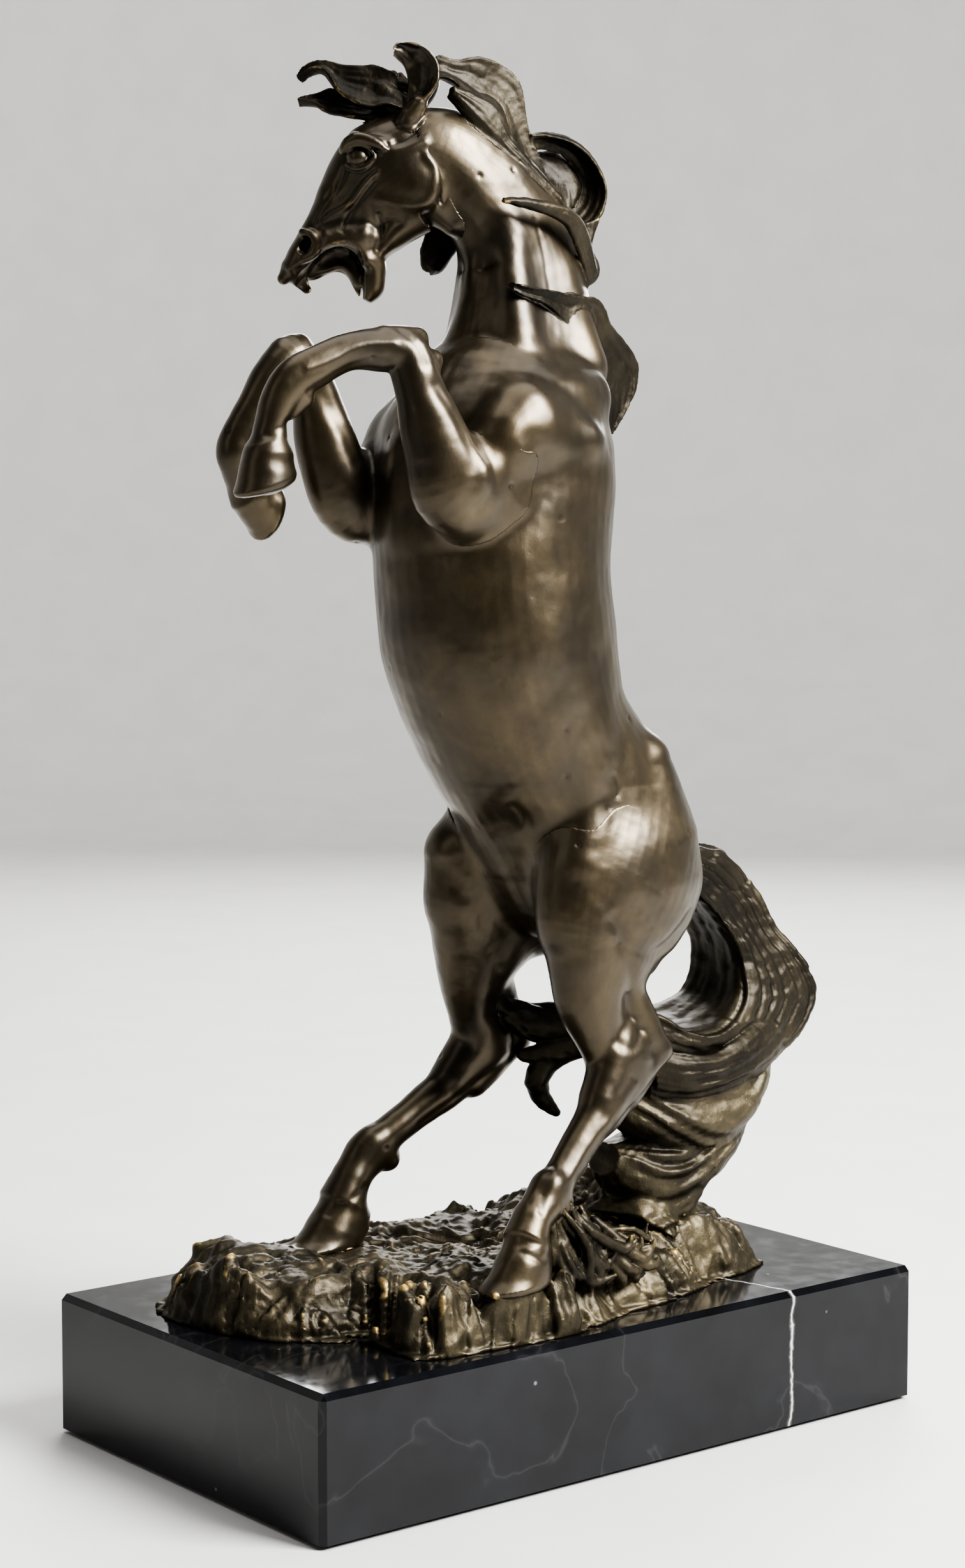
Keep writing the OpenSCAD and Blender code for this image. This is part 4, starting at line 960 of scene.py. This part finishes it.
LEFT, RIGHT = -1, 1


def body_relief(sk, name):
    """Soft unevenness, small casting pits and the strokes of the muscles."""
    v = sk.v
    d = 0.32 * noise(v / 11.0, 1) + 0.07 * noise(v / 3.4, 2)
    pit = cells(v, 14.0, 5)
    d -= 0.5 * np.exp(-(pit / 0.06) ** 2)
    wide, high = STROKE_SIZE.get(name, (1.5, 0.6))
    return d + strokes(sk, STROKES[name], name in ("head", "neck"), wide, high)


def hair_relief(sk, _):
    """Fine unevenness, also for the ears and the grass."""
    return 0.16 * noise(sk.v / 3.0, 1) + 0.07 * noise(sk.v / 1.3, 2)


def warped(v, by, size, seed):
    """Points moved by smooth noise."""
    return v + by * np.stack([noise(v / size, seed + i) for i in range(3)], 1)


def tail_relief(sk, _):
    """Broad waves across the strands."""
    warp = warped(sk.v, 3, 9, 11)
    return 0.45 * noise(warp * [0.12, 0.12, 0.36], 1) + 0.12 * noise(sk.v / 2.4, 2)


def ground_relief(sk, _):
    """Rough rock, which fades out at the marble."""
    top = np.clip((sk.v[:, 2] - 50.5) / 4, 0, 1)
    warp = warped(sk.v, 4, 11, 21)
    rough = ridged(warp / [8, 8, 22], 24) + 0.4 * ridged(warp / [3.6, 3.6, 12], 25)
    return (rough + 0.15 * noise(sk.v / 2.0, 26)) * top


# Head and neck in the head's own frame, the rest in the CAD's.
STROKES = {
    "head": [(LEFT, (-40, -2), [
        # The round jowl: a groove behind it and a rim before the groove.
        ([[1, 447], [4.2, 442], [4.8, 436], [3.4, 431]], 1.3, -1.1),
        ([[-1, 445], [1.6, 441], [1.8, 435.5], [-0.6, 430.4], [-5, 428.6], [-11, 429.2],
          [-17, 430.6]], 1.6, 0.7),
    ]), (LEFT, (-40, 0), [
        ([[-18, 440], [-23, 435], [-26.5, 430], [-31, 427.4], [-36, 424.6]], 1.1, 0.7),
        ([[-19, 437], [-24, 431], [-28, 426], [-30, 421]], 1.0, -0.6),
        ([[-14, 449], [-9, 450.5], [-4, 454]], 1.5, -0.8),
        ([[-15, 446], [-8, 447.4], [-2, 450]], 1.6, 0.6),
        ([[-35, 432], [-31, 436], [-29, 441]], 1.3, -0.6),
        ([[-39, 424], [-35, 430], [-32.5, 435]], 0.8, 0.45),
        ([[-27, 427], [-27.6, 423], [-28.6, 420]], 1.2, -0.2),
        ([[-23.4, 429], [-23.6, 424], [-25, 421]], 1.2, -0.2),
        ([[-20, 428], [-19, 423], [-20, 418]], 1.2, -0.2),
        ([[-31, 425], [-32, 422], [-33.6, 420]], 1.2, -0.2),
        ([[-17.4, 426], [-16.4, 421], [-17.6, 415]], 1.0, -0.6),
        ([[-37, 421], [-36.6, 417], [-37.6, 415]], 1.0, -0.3),
        ([[-10, 423], [-13, 420.6], [-16, 416.6]], 1.1, -0.5),
        ([[-48, 408.6], [-42.6, 410.8], [-37, 414], [-31.6, 417], [-27, 417.6], [-23.8, 415.2],
          [-21.6, 411]], 1.1, 0.25),
    ])],
    "neck": [(LEFT, (-40, 15), [
        ([[6, 442], [9, 436], [8, 430], [5, 425]], 2.2, -0.5),
    ]), (LEFT, (-40, 20), [
        ([[5, 420], [9, 412], [12, 400], [14, 388], [15, 374]], 1.6, -0.9),
        ([[9, 424], [15, 416], [19, 404], [20, 390], [20, 374]], 2.6, -1.2),
    ]), (LEFT, (-40, 40), [
        ([[36, 426], [39, 414], [41, 402]], 0.4, -0.4),
        ([[22, 446], [28, 436], [34, 428]], 1.6, -0.5),
        ([[10, 450], [20, 444], [30, 432]], 2.2, -0.5),
    ])],
    "torso": [(LEFT, (-90, -22), [
        ([[-66, 362], [-56, 368], [-40, 374], [-20, 371], [2, 357]], 2.2, -1.8),
        ([[-64, 354], [-56, 360], [-44, 366], [-30, 366]], 2.5, 1.0),
        ([[-34, 350], [-26, 340], [-27, 328], [-38, 318], [-52, 312]], 2.2, -1.4),
        ([[-12, 356], [-6, 340], [-8, 322], [-18, 308]], 4, -0.8),
        ([[-52, 309], [-27, 299], [-5, 283]], 4, -0.5),
        ([[-50, 296], [-26, 284], [-6, 268]], 4, 0.4),
        ([[15, 262], [13, 246], [6, 231], [-8, 222], [-24, 218]], 3.2, -1.6),
        ([[-26, 232], [-27, 226], [-25, 219]], 1.2, -0.8),
        ([[-24, 226], [-20, 222], [-18, 216]], 0.5, -0.7),
        ([[8, 236], [10, 232], [9, 229]], 0.5, -0.8),
    ]), (RIGHT, (-20, 50), [
        ([[15, 262], [13, 246], [6, 231], [-8, 222], [-24, 218]], 3.2, -1.4),
        ([[-12, 356], [-6, 340], [-8, 322], [-18, 308]], 4, -0.8),
        ([[-64, 362], [-40, 372], [-20, 371], [2, 357]], 2.2, -1.4),
    ])],
    "foreleg_left": [(LEFT, (-90, -30), [
        ([[-52, 349], [-48, 341], [-47, 334], [-52, 326]], 1.6, -1.0),
        ([[-66, 366], [-60, 356], [-56, 344], [-56, 334]], 1.8, -0.9),
    ]), (LEFT, (-90, -20), [
        ([[-108, 371], [-100, 374], [-90, 379], [-80, 380]], 1.0, 0.6),
        ([[-106, 364], [-98, 369], [-90, 373], [-82, 374]], 1.1, -0.7),
        ([[-76, 384], [-72, 379], [-70, 373]], 1.2, -0.8),
    ]), (LEFT, (-90, -10), [
        ([[-112, 354], [-117, 352], [-120, 350]], 1.0, -0.7),
    ])],
    "foreleg_right": [(LEFT, (-30, 40), [
        ([[-74, 366], [-68, 356], [-62, 344]], 1.8, -0.8),
        ([[-96, 356], [-92, 364], [-86, 372]], 1.0, -0.7),
    ]), (RIGHT, (-30, 40), [
        ([[-74, 366], [-68, 356], [-62, 344]], 1.8, -0.8),
    ])],
    "hindleg_left": [(LEFT, (-90, -25), [
        ([[3, 186], [11, 177], [26, 174], [42, 184]], 2.0, -1.6),
        ([[6, 178], [13, 166], [14, 152], [8, 146]], 2.2, -1.3),
        ([[34, 132], [26, 128], [14, 120], [2, 111]], 1.2, -1.0),
        ([[14, 128], [4, 119], [-8, 110], [-18, 101]], 1.3, 0.8),
        ([[20, 146], [14, 141], [8, 143]], 1.6, -1.0),
        ([[-12, 204], [-2, 196], [4, 186]], 3, -0.7),
        ([[-24, 108], [-29, 100], [-34, 92]], 1.0, -0.7),
        ([[-44, 80], [-38, 77], [-30, 78]], 0.9, -0.6),
    ])],
    "hindleg_right": [(LEFT, (-20, 60), [
        ([[-24, 201], [-16, 190], [-10, 180]], 2.4, -0.9),
        ([[-4, 170], [2, 158], [2, 146]], 2.0, -1.0),
        ([[14, 128], [4, 124], [-10, 116], [-24, 108]], 1.2, -0.9),
        ([[-48, 88], [-56, 84], [-62, 80]], 1.0, -0.6),
    ]), (RIGHT, (-20, 60), [
        ([[14, 128], [4, 124], [-10, 116], [-24, 108]], 1.2, -0.9),
        ([[3, 186], [11, 177], [24, 176]], 2.0, -1.4),
    ])],
}
STROKE_SIZE = {"head": (1.0, 0.85), "neck": (1.8, 0.45), "torso": (1.8, 0.45)}
BODY_GAIN, HAIR_GAIN = 1.3, 1.1
RELIEF = {n: body_relief if n in STROKES else hair_relief for n in ORDER}
RELIEF.update({"tail": tail_relief, "tail_swirl": tail_relief, "tail_wisp": tail_relief,
               "ground": ground_relief})


def make_piece(name):
    """One node's piece: its closed mesh with relief, edge attribute and material."""
    h = SPEC[name][0]
    sk = Skin(*largest(*polygons(piece_field(name))))
    sk.push(RELIEF[name](sk, name))
    # How proud each vertex stands tells the material where the bronze is rubbed, and where painted
    # shade darkens the hollows.
    gain = BODY_GAIN if KIND[name] == "body" else HAIR_GAIN
    proud = np.clip(sk.bend(int(5 / h / h)) * gain, -1, 1)
    edge = sk.blur(proud, int(1 / h / h) + 1)
    me = bpy.data.meshes.new(name + "_form")
    me.vertices.add(len(sk.v))
    me.vertices.foreach_set("co", (sk.v * MM).astype(np.float32).ravel())
    nq = len(sk.q)
    me.loops.add(nq * 4)
    me.loops.foreach_set("vertex_index", sk.q.astype(np.int32).ravel())
    me.polygons.add(nq)
    me.polygons.foreach_set("loop_start", np.arange(0, nq * 4, 4, dtype=np.int32))
    me.polygons.foreach_set("use_smooth", np.ones(nq, bool))
    me.update(calc_edges=True)
    me.validate()
    at = me.attributes.new("edge", "FLOAT", "POINT")
    at.data.foreach_set("value", edge.astype(np.float32))
    ob = bpy.data.objects.new(name + "_form", me)
    bpy.context.scene.collection.objects.link(ob)
    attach(ob, "root")
    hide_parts(name)
    me.materials.append(MATERIALS[KIND[name]])


# ---- Materials ----

class Shader:
    """A node material. Positions are in millimetres."""

    def __init__(self, name):
        self.mat = bpy.data.materials.new(name)
        self.mat.use_nodes = True
        self.nt = self.mat.node_tree
        self.bsdf = self.nt.nodes["Principled BSDF"]
        tc = self.node("ShaderNodeTexCoord")
        self.mm = self.vec("SCALE", tc.outputs["Object"], s=TO_MM)

    def node(self, kind, **kw):
        n = self.nt.nodes.new(kind)
        for k, v in kw.items():
            setattr(n, k, v)
        return n

    def put(self, socket, value):
        if isinstance(value, bpy.types.NodeSocket):
            self.nt.links.new(value, socket)
        else:
            socket.default_value = value

    def vec(self, op, a, b=None, s=None):
        n = self.node("ShaderNodeVectorMath", operation=op)
        self.put(n.inputs[0], a)
        if b is not None:
            self.put(n.inputs[1], b)
        if s is not None:
            self.put(n.inputs["Scale"], s)
        return n.outputs[0]

    def noise(self, size, detail=4, rough=0.55, warp=0.0, stretch=None):
        p = self.mm
        if stretch is not None:
            p = self.vec("MULTIPLY", p, stretch)
        n = self.node("ShaderNodeTexNoise")
        self.put(n.inputs["Vector"], p)
        self.put(n.inputs["Scale"], 1 / size)
        self.put(n.inputs["Detail"], detail)
        self.put(n.inputs["Roughness"], rough)
        self.put(n.inputs["Distortion"], warp)
        return n.outputs[0]

    def cells(self, size):
        n = self.node("ShaderNodeTexVoronoi", feature="F1")
        self.put(n.inputs["Vector"], self.mm)
        self.put(n.inputs["Scale"], 1 / size)
        return n.outputs["Distance"]

    def ramp(self, x, *stops):
        n = self.node("ShaderNodeValToRGB")
        el = n.color_ramp.elements
        while len(el) < len(stops):
            el.new(0.5)
        for e, (at, c) in zip(el, stops):
            e.position = at
            e.color = (*c, 1) if isinstance(c, tuple) else (c, c, c, 1)
        self.put(n.inputs[0], x)
        return n.outputs[0]

    def mix(self, f, a, b, how="MIX"):
        """Colours a and b by the share f. Sockets 0, 6, 7 and output 2 are the RGBA ones."""
        n = self.node("ShaderNodeMix", data_type="RGBA", blend_type=how)
        for i, v in ((0, f), (6, a), (7, b)):
            if isinstance(v, tuple):
                v = (*v, 1)
            self.put(n.inputs[i], v)
        return n.outputs[2]

    def math(self, op, a, b=0.0, clamp=False):
        n = self.node("ShaderNodeMath", operation=op, use_clamp=clamp)
        self.put(n.inputs[0], a)
        self.put(n.inputs[1], b)
        return n.outputs[0]

    def edge(self):
        """The edge attribute of make_piece, which the bronze uses for its rubbed edges and for
        painted shade in the hollows.
        """
        return self.node("ShaderNodeAttribute", attribute_name="edge").outputs["Fac"]

    def bump(self, height, distance, under=None):
        n = self.node("ShaderNodeBump")
        self.put(n.inputs["Height"], height)
        self.put(n.inputs["Distance"], distance * MM)
        self.put(n.inputs["Strength"], 1.0)
        if under is not None:
            self.put(n.inputs["Normal"], under)
        return n.outputs[0]

    def done(self, **sockets):
        """Fills the surface's sockets and returns the material."""
        for k, v in sockets.items():
            if isinstance(v, tuple):
                v = (*v, 1)
            self.put(self.bsdf.inputs[k.replace("_", " ")], v)
        return self.mat


def bronze(name, low, mid, high, rubbed, rub, rough, grain, wax):
    """Patinated bronze, rubbed on the edges, with painted shade darkening the hollows."""
    s = Shader(name)
    cloud = s.noise(34, 4, 0.55, 0.5)
    base = s.ramp(cloud, (0.32, low), (0.5, mid), (0.68, high))
    base = s.mix(s.ramp(s.noise(3.0, 5, 0.7), (0.5, 0.0), (0.72, 0.35)), base, low)
    e = s.edge()
    # Painted shade: the hollows, where the edge attribute is below zero, are darkened towards three
    # tenths of the low colour.
    base = s.mix(s.math("MULTIPLY", e, -1.8, clamp=True), base, tuple(c * 0.3 for c in low))
    worn = s.math("ADD", e, s.math("MULTIPLY", s.math("SUBTRACT", s.noise(6, 5, 0.7), 0.5), 0.9))
    worn = s.ramp(worn, (rub, 0.0), (min(rub + 0.35, 1.0), 0.9))
    base = s.mix(worn, base, rubbed)
    scratch = s.noise(2.5, 2, 0.5, 0.4, stretch=(1, 1, 0.08))
    rgh = s.math("ADD", s.math("MULTIPLY", s.noise(9, 5, 0.65), 0.22), rough - 0.11, clamp=True)
    rgh = s.math("SUBTRACT", rgh, s.math("MULTIPLY", worn, 0.1), clamp=True)
    n = s.bump(s.noise(1.3, 6, 0.62), grain)
    n = s.bump(s.ramp(s.cells(7.5), (0.0, 0.0), (0.08, 1.0)), grain * 0.9, under=n)
    n = s.bump(s.ramp(scratch, (0.46, 0.0), (0.5, 1.0), (0.54, 0.0)), grain * 0.12, under=n)
    return s.done(Base_Color=base, Metallic=0.85, Roughness=rgh, Normal=n, Coat_Weight=wax,
                  Coat_Roughness=0.34, Coat_Tint=(1.0, 0.98, 0.94))


VEIN_X = 54    # where the white vein crosses the marble, in millimetres


def marble():
    s = Shader("black_marble")
    xyz = s.node("ShaderNodeSeparateXYZ")
    s.put(xyz.inputs[0], s.mm)
    x, y = xyz.outputs[0], xyz.outputs[1]
    wander = s.math("MULTIPLY", s.math("SUBTRACT", s.noise(30, 5, 0.6), 0.5), 11)
    # One white vein runs up the long face and fades out on the top; grey ones cross the block.
    across = s.math("ADD", s.math("ADD", x, wander), s.math("MULTIPLY", y, 0.22))
    vein = s.math("ABSOLUTE", s.math("SUBTRACT", across, VEIN_X))
    vein = s.ramp(s.math("MULTIPLY", vein, 0.1), (0.02, 0.8), (0.05, 0.12), (0.12, 0.0))
    near = s.ramp(s.math("MULTIPLY", s.math("ADD", y, 100), 0.01), (0.42, 1.0), (0.6, 0.0))
    vein = s.math("MULTIPLY", vein, near)
    thin = s.math("ABSOLUTE", s.math("SUBTRACT", s.noise(70, 4, 0.5, 0.6), 0.5))
    grey = s.ramp(thin, (0.0, 0.5), (0.005, 0.12), (0.014, 0.0))
    cloud = s.ramp(s.noise(24, 6, 0.65), (0.35, (0.0035, 0.0037, 0.0045)),
                   (0.72, (0.0085, 0.009, 0.011)))
    base = s.mix(grey, cloud, (0.03, 0.03, 0.032))
    fleck = s.ramp(s.cells(26), (0.0, 0.75), (0.018, 0.5), (0.035, 0.0))
    base = s.mix(fleck, base, (0.22, 0.22, 0.21))
    base = s.mix(vein, base, (0.55, 0.54, 0.52))
    rgh = s.ramp(s.noise(8, 5, 0.7), (0.3, 0.06), (0.75, 0.16))
    return s.done(Base_Color=base, Roughness=rgh, Specular_IOR_Level=0.35,
                  Normal=s.bump(s.noise(14, 4, 0.5), 0.015))


def steel():
    s = Shader("zinc_steel")
    base = s.ramp(s.noise(4, 5, 0.7), (0.3, (0.42, 0.42, 0.41)), (0.7, (0.62, 0.61, 0.58)))
    rgh = s.ramp(s.noise(1.2, 4, 0.7), (0.3, 0.25), (0.7, 0.45))
    return s.done(Base_Color=base, Metallic=1.0, Roughness=rgh,
                  Normal=s.bump(s.noise(0.6, 3, 0.6, stretch=(1, 1, 5)), 0.03))


def felt():
    s = Shader("felt")
    base = s.ramp(s.noise(0.8, 6, 0.75, 1.0), (0.3, (0.006, 0.007, 0.006)),
                  (0.75, (0.035, 0.037, 0.034)))
    return s.done(Base_Color=base, Roughness=0.95, Sheen_Weight=0.4,
                  Normal=s.bump(s.noise(0.5, 5, 0.8, 1.5), 0.25))


BOWL = 3000    # radius of the studio's floor in millimetres


def floor_paint():
    s = Shader("studio_floor")
    base = s.ramp(s.noise(60, 3, 0.5), (0.3, (0.58, 0.575, 0.56)), (0.7, (0.61, 0.605, 0.59)))
    # Painted shade: the floor and its wall are painted darker towards the front left, in place of a
    # dark side of the room, so the statuette keeps a dark side.
    away = s.node("ShaderNodeVectorMath", operation="DOT_PRODUCT")
    s.put(away.inputs[0], s.mm)
    s.put(away.inputs[1], (-0.62 / BOWL, -0.78 / BOWL, 0.6 / BOWL))
    painted_shade = s.ramp(away.outputs["Value"], (0.10, 1.0), (0.6, 0.2))
    return s.done(Base_Color=s.mix(1.0, base, painted_shade, "MULTIPLY"), Roughness=0.6)


MATERIALS = {
    "body": bronze("bronze_body", (0.027, 0.019, 0.0085), (0.048, 0.0345, 0.0155),
                   (0.076, 0.056, 0.027),
                   (0.36, 0.26, 0.11), 0.45, 0.36, 0.05, 0.70),
    "hair": bronze("bronze_hair", (0.014, 0.0115, 0.0075), (0.030, 0.0245, 0.0155),
                   (0.055, 0.045, 0.028),
                   (0.52, 0.36, 0.14), 0.42, 0.50, 0.14, 0.12),
    "rock": bronze("bronze_rock", (0.020, 0.0165, 0.0105), (0.056, 0.046, 0.028),
                   (0.10, 0.082, 0.049),
                   (0.48, 0.34, 0.14), 0.40, 0.50, 0.18, 0.12),
}
DARK = ("ground", "grass", "tail", "tail_swirl", "tail_wisp", "forelock", "mane_crest", "mane_curl",
        "mane_ridge", "mane_shoulder", "mane_right")
KIND = {n: "hair" if n in DARK else "body" for n in ORDER}
KIND.update({"ground": "rock", "grass": "rock", "tail_swirl": "rock"})


def paint(node, mat):
    """Gives a CAD object that is shown as it is its material."""
    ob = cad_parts[node]
    if not ob.material_slots:
        ob.data.materials.append(mat)
    for sl in ob.material_slots:
        sl.material = mat


# ---- The model ----

for name in ORDER:
    make_piece(name)
paint("plinth", marble())
paint("felt_base", felt())
zinc = steel()
for name in ("studs", "washers", "nuts"):
    paint(name, zinc)
paint("bosses", MATERIALS["rock"])


# ---- Stage ----

def box_light(name, at, aim, size, power):
    li = bpy.data.lights.new(name, "AREA")
    li.shape, li.size, li.size_y, li.energy = "RECTANGLE", size[0], size[1], power
    ob = bpy.data.objects.new(name, li)
    ob.location = at
    ob.rotation_euler = (Vector(aim) - Vector(at)).to_track_quat("-Z", "Y").to_euler()
    bpy.context.scene.collection.objects.link(ob)


def studio_bowl(radius=BOWL * MM, curve=1.0, height=3.4, around=96):
    """The floor, which curves up into a wall all round, so that no view shows its edge."""
    flat = [(radius - curve) * t for t in np.linspace(0.02, 1, 14)]
    profile = [(r, 0.0) for r in flat]
    profile += [(radius - curve + curve * math.sin(a), curve - curve * math.cos(a))
                for a in np.linspace(0, math.pi / 2, 20)[1:]]
    profile.append((radius, height))
    verts = [(0.0, 0.0, 0.0)]
    for r, z in profile:
        verts += [(r * math.cos(w), r * math.sin(w), z)
                  for w in np.linspace(0, 2 * math.pi, around, endpoint=False)]
    faces = [(0, 1 + k, 1 + (k + 1) % around) for k in range(around)]
    for i in range(len(profile) - 1):
        a, b = 1 + i * around, 1 + (i + 1) * around
        faces += [(a + k, b + k, b + (k + 1) % around, a + (k + 1) % around) for k in range(around)]
    me = bpy.data.meshes.new("floor")
    me.from_pydata(verts, [], faces)
    me.polygons.foreach_set("use_smooth", np.ones(len(me.polygons), bool))
    me.materials.append(floor_paint())
    return bpy.data.objects.new("floor", me)


floor = studio_bowl()
bpy.context.scene.collection.objects.link(floor)

TILT, AZIMUTH = 4.68, -38.514    # degrees: the camera looks down by the one, turned by the other
cam = bpy.data.cameras.new("camera")
cam.sensor_width, cam.lens = 36.0, 66.73
cam_ob = bpy.data.objects.new("camera", cam)
cam_ob.location = (-0.64712, -0.80656, 0.31443)
cam_ob.rotation_euler = (math.radians(90 - TILT), 0, math.radians(AZIMUTH))
bpy.context.scene.collection.objects.link(cam_ob)
bpy.context.scene.camera = cam_ob

box_light("key", (0.58, -1.30, 1.30), (0, 0, 0.28), (0.9, 0.9), 108)
box_light("left", (-1.5, -0.2, 0.9), (0, 0, 0.25), (0.5, 1.2), 2)
box_light("top", (0.1, -0.1, 2.9), (0, 0, 0.2), (2.4, 2.4), 48)
box_light("back", (1.1, 1.1, 0.9), (0, 0, 0.25), (1.0, 0.7), 16)

world = bpy.data.worlds.new("studio")
world.use_nodes = True
wn, wl = world.node_tree.nodes, world.node_tree.links
tc = wn.new("ShaderNodeTexCoord")
sep = wn.new("ShaderNodeSeparateXYZ")
wl.new(tc.outputs["Generated"], sep.inputs[0])
sky = wn.new("ShaderNodeValToRGB")
for stop, at, colour in zip(sky.color_ramp.elements, (0.0, 0.55),
                            ((0.62, 0.62, 0.615, 1), (0.30, 0.30, 0.31, 1))):
    stop.position, stop.color = at, colour
wl.new(sep.outputs[2], sky.inputs[0])
wl.new(sky.outputs[0], wn["Background"].inputs[0])
wn["Background"].inputs[1].default_value = 0.25
bpy.context.scene.world = world
bpy.context.scene.view_settings.look = "AgX - High Contrast"

# ---- The view layer is brought up to date ----

bpy.context.view_layer.update()
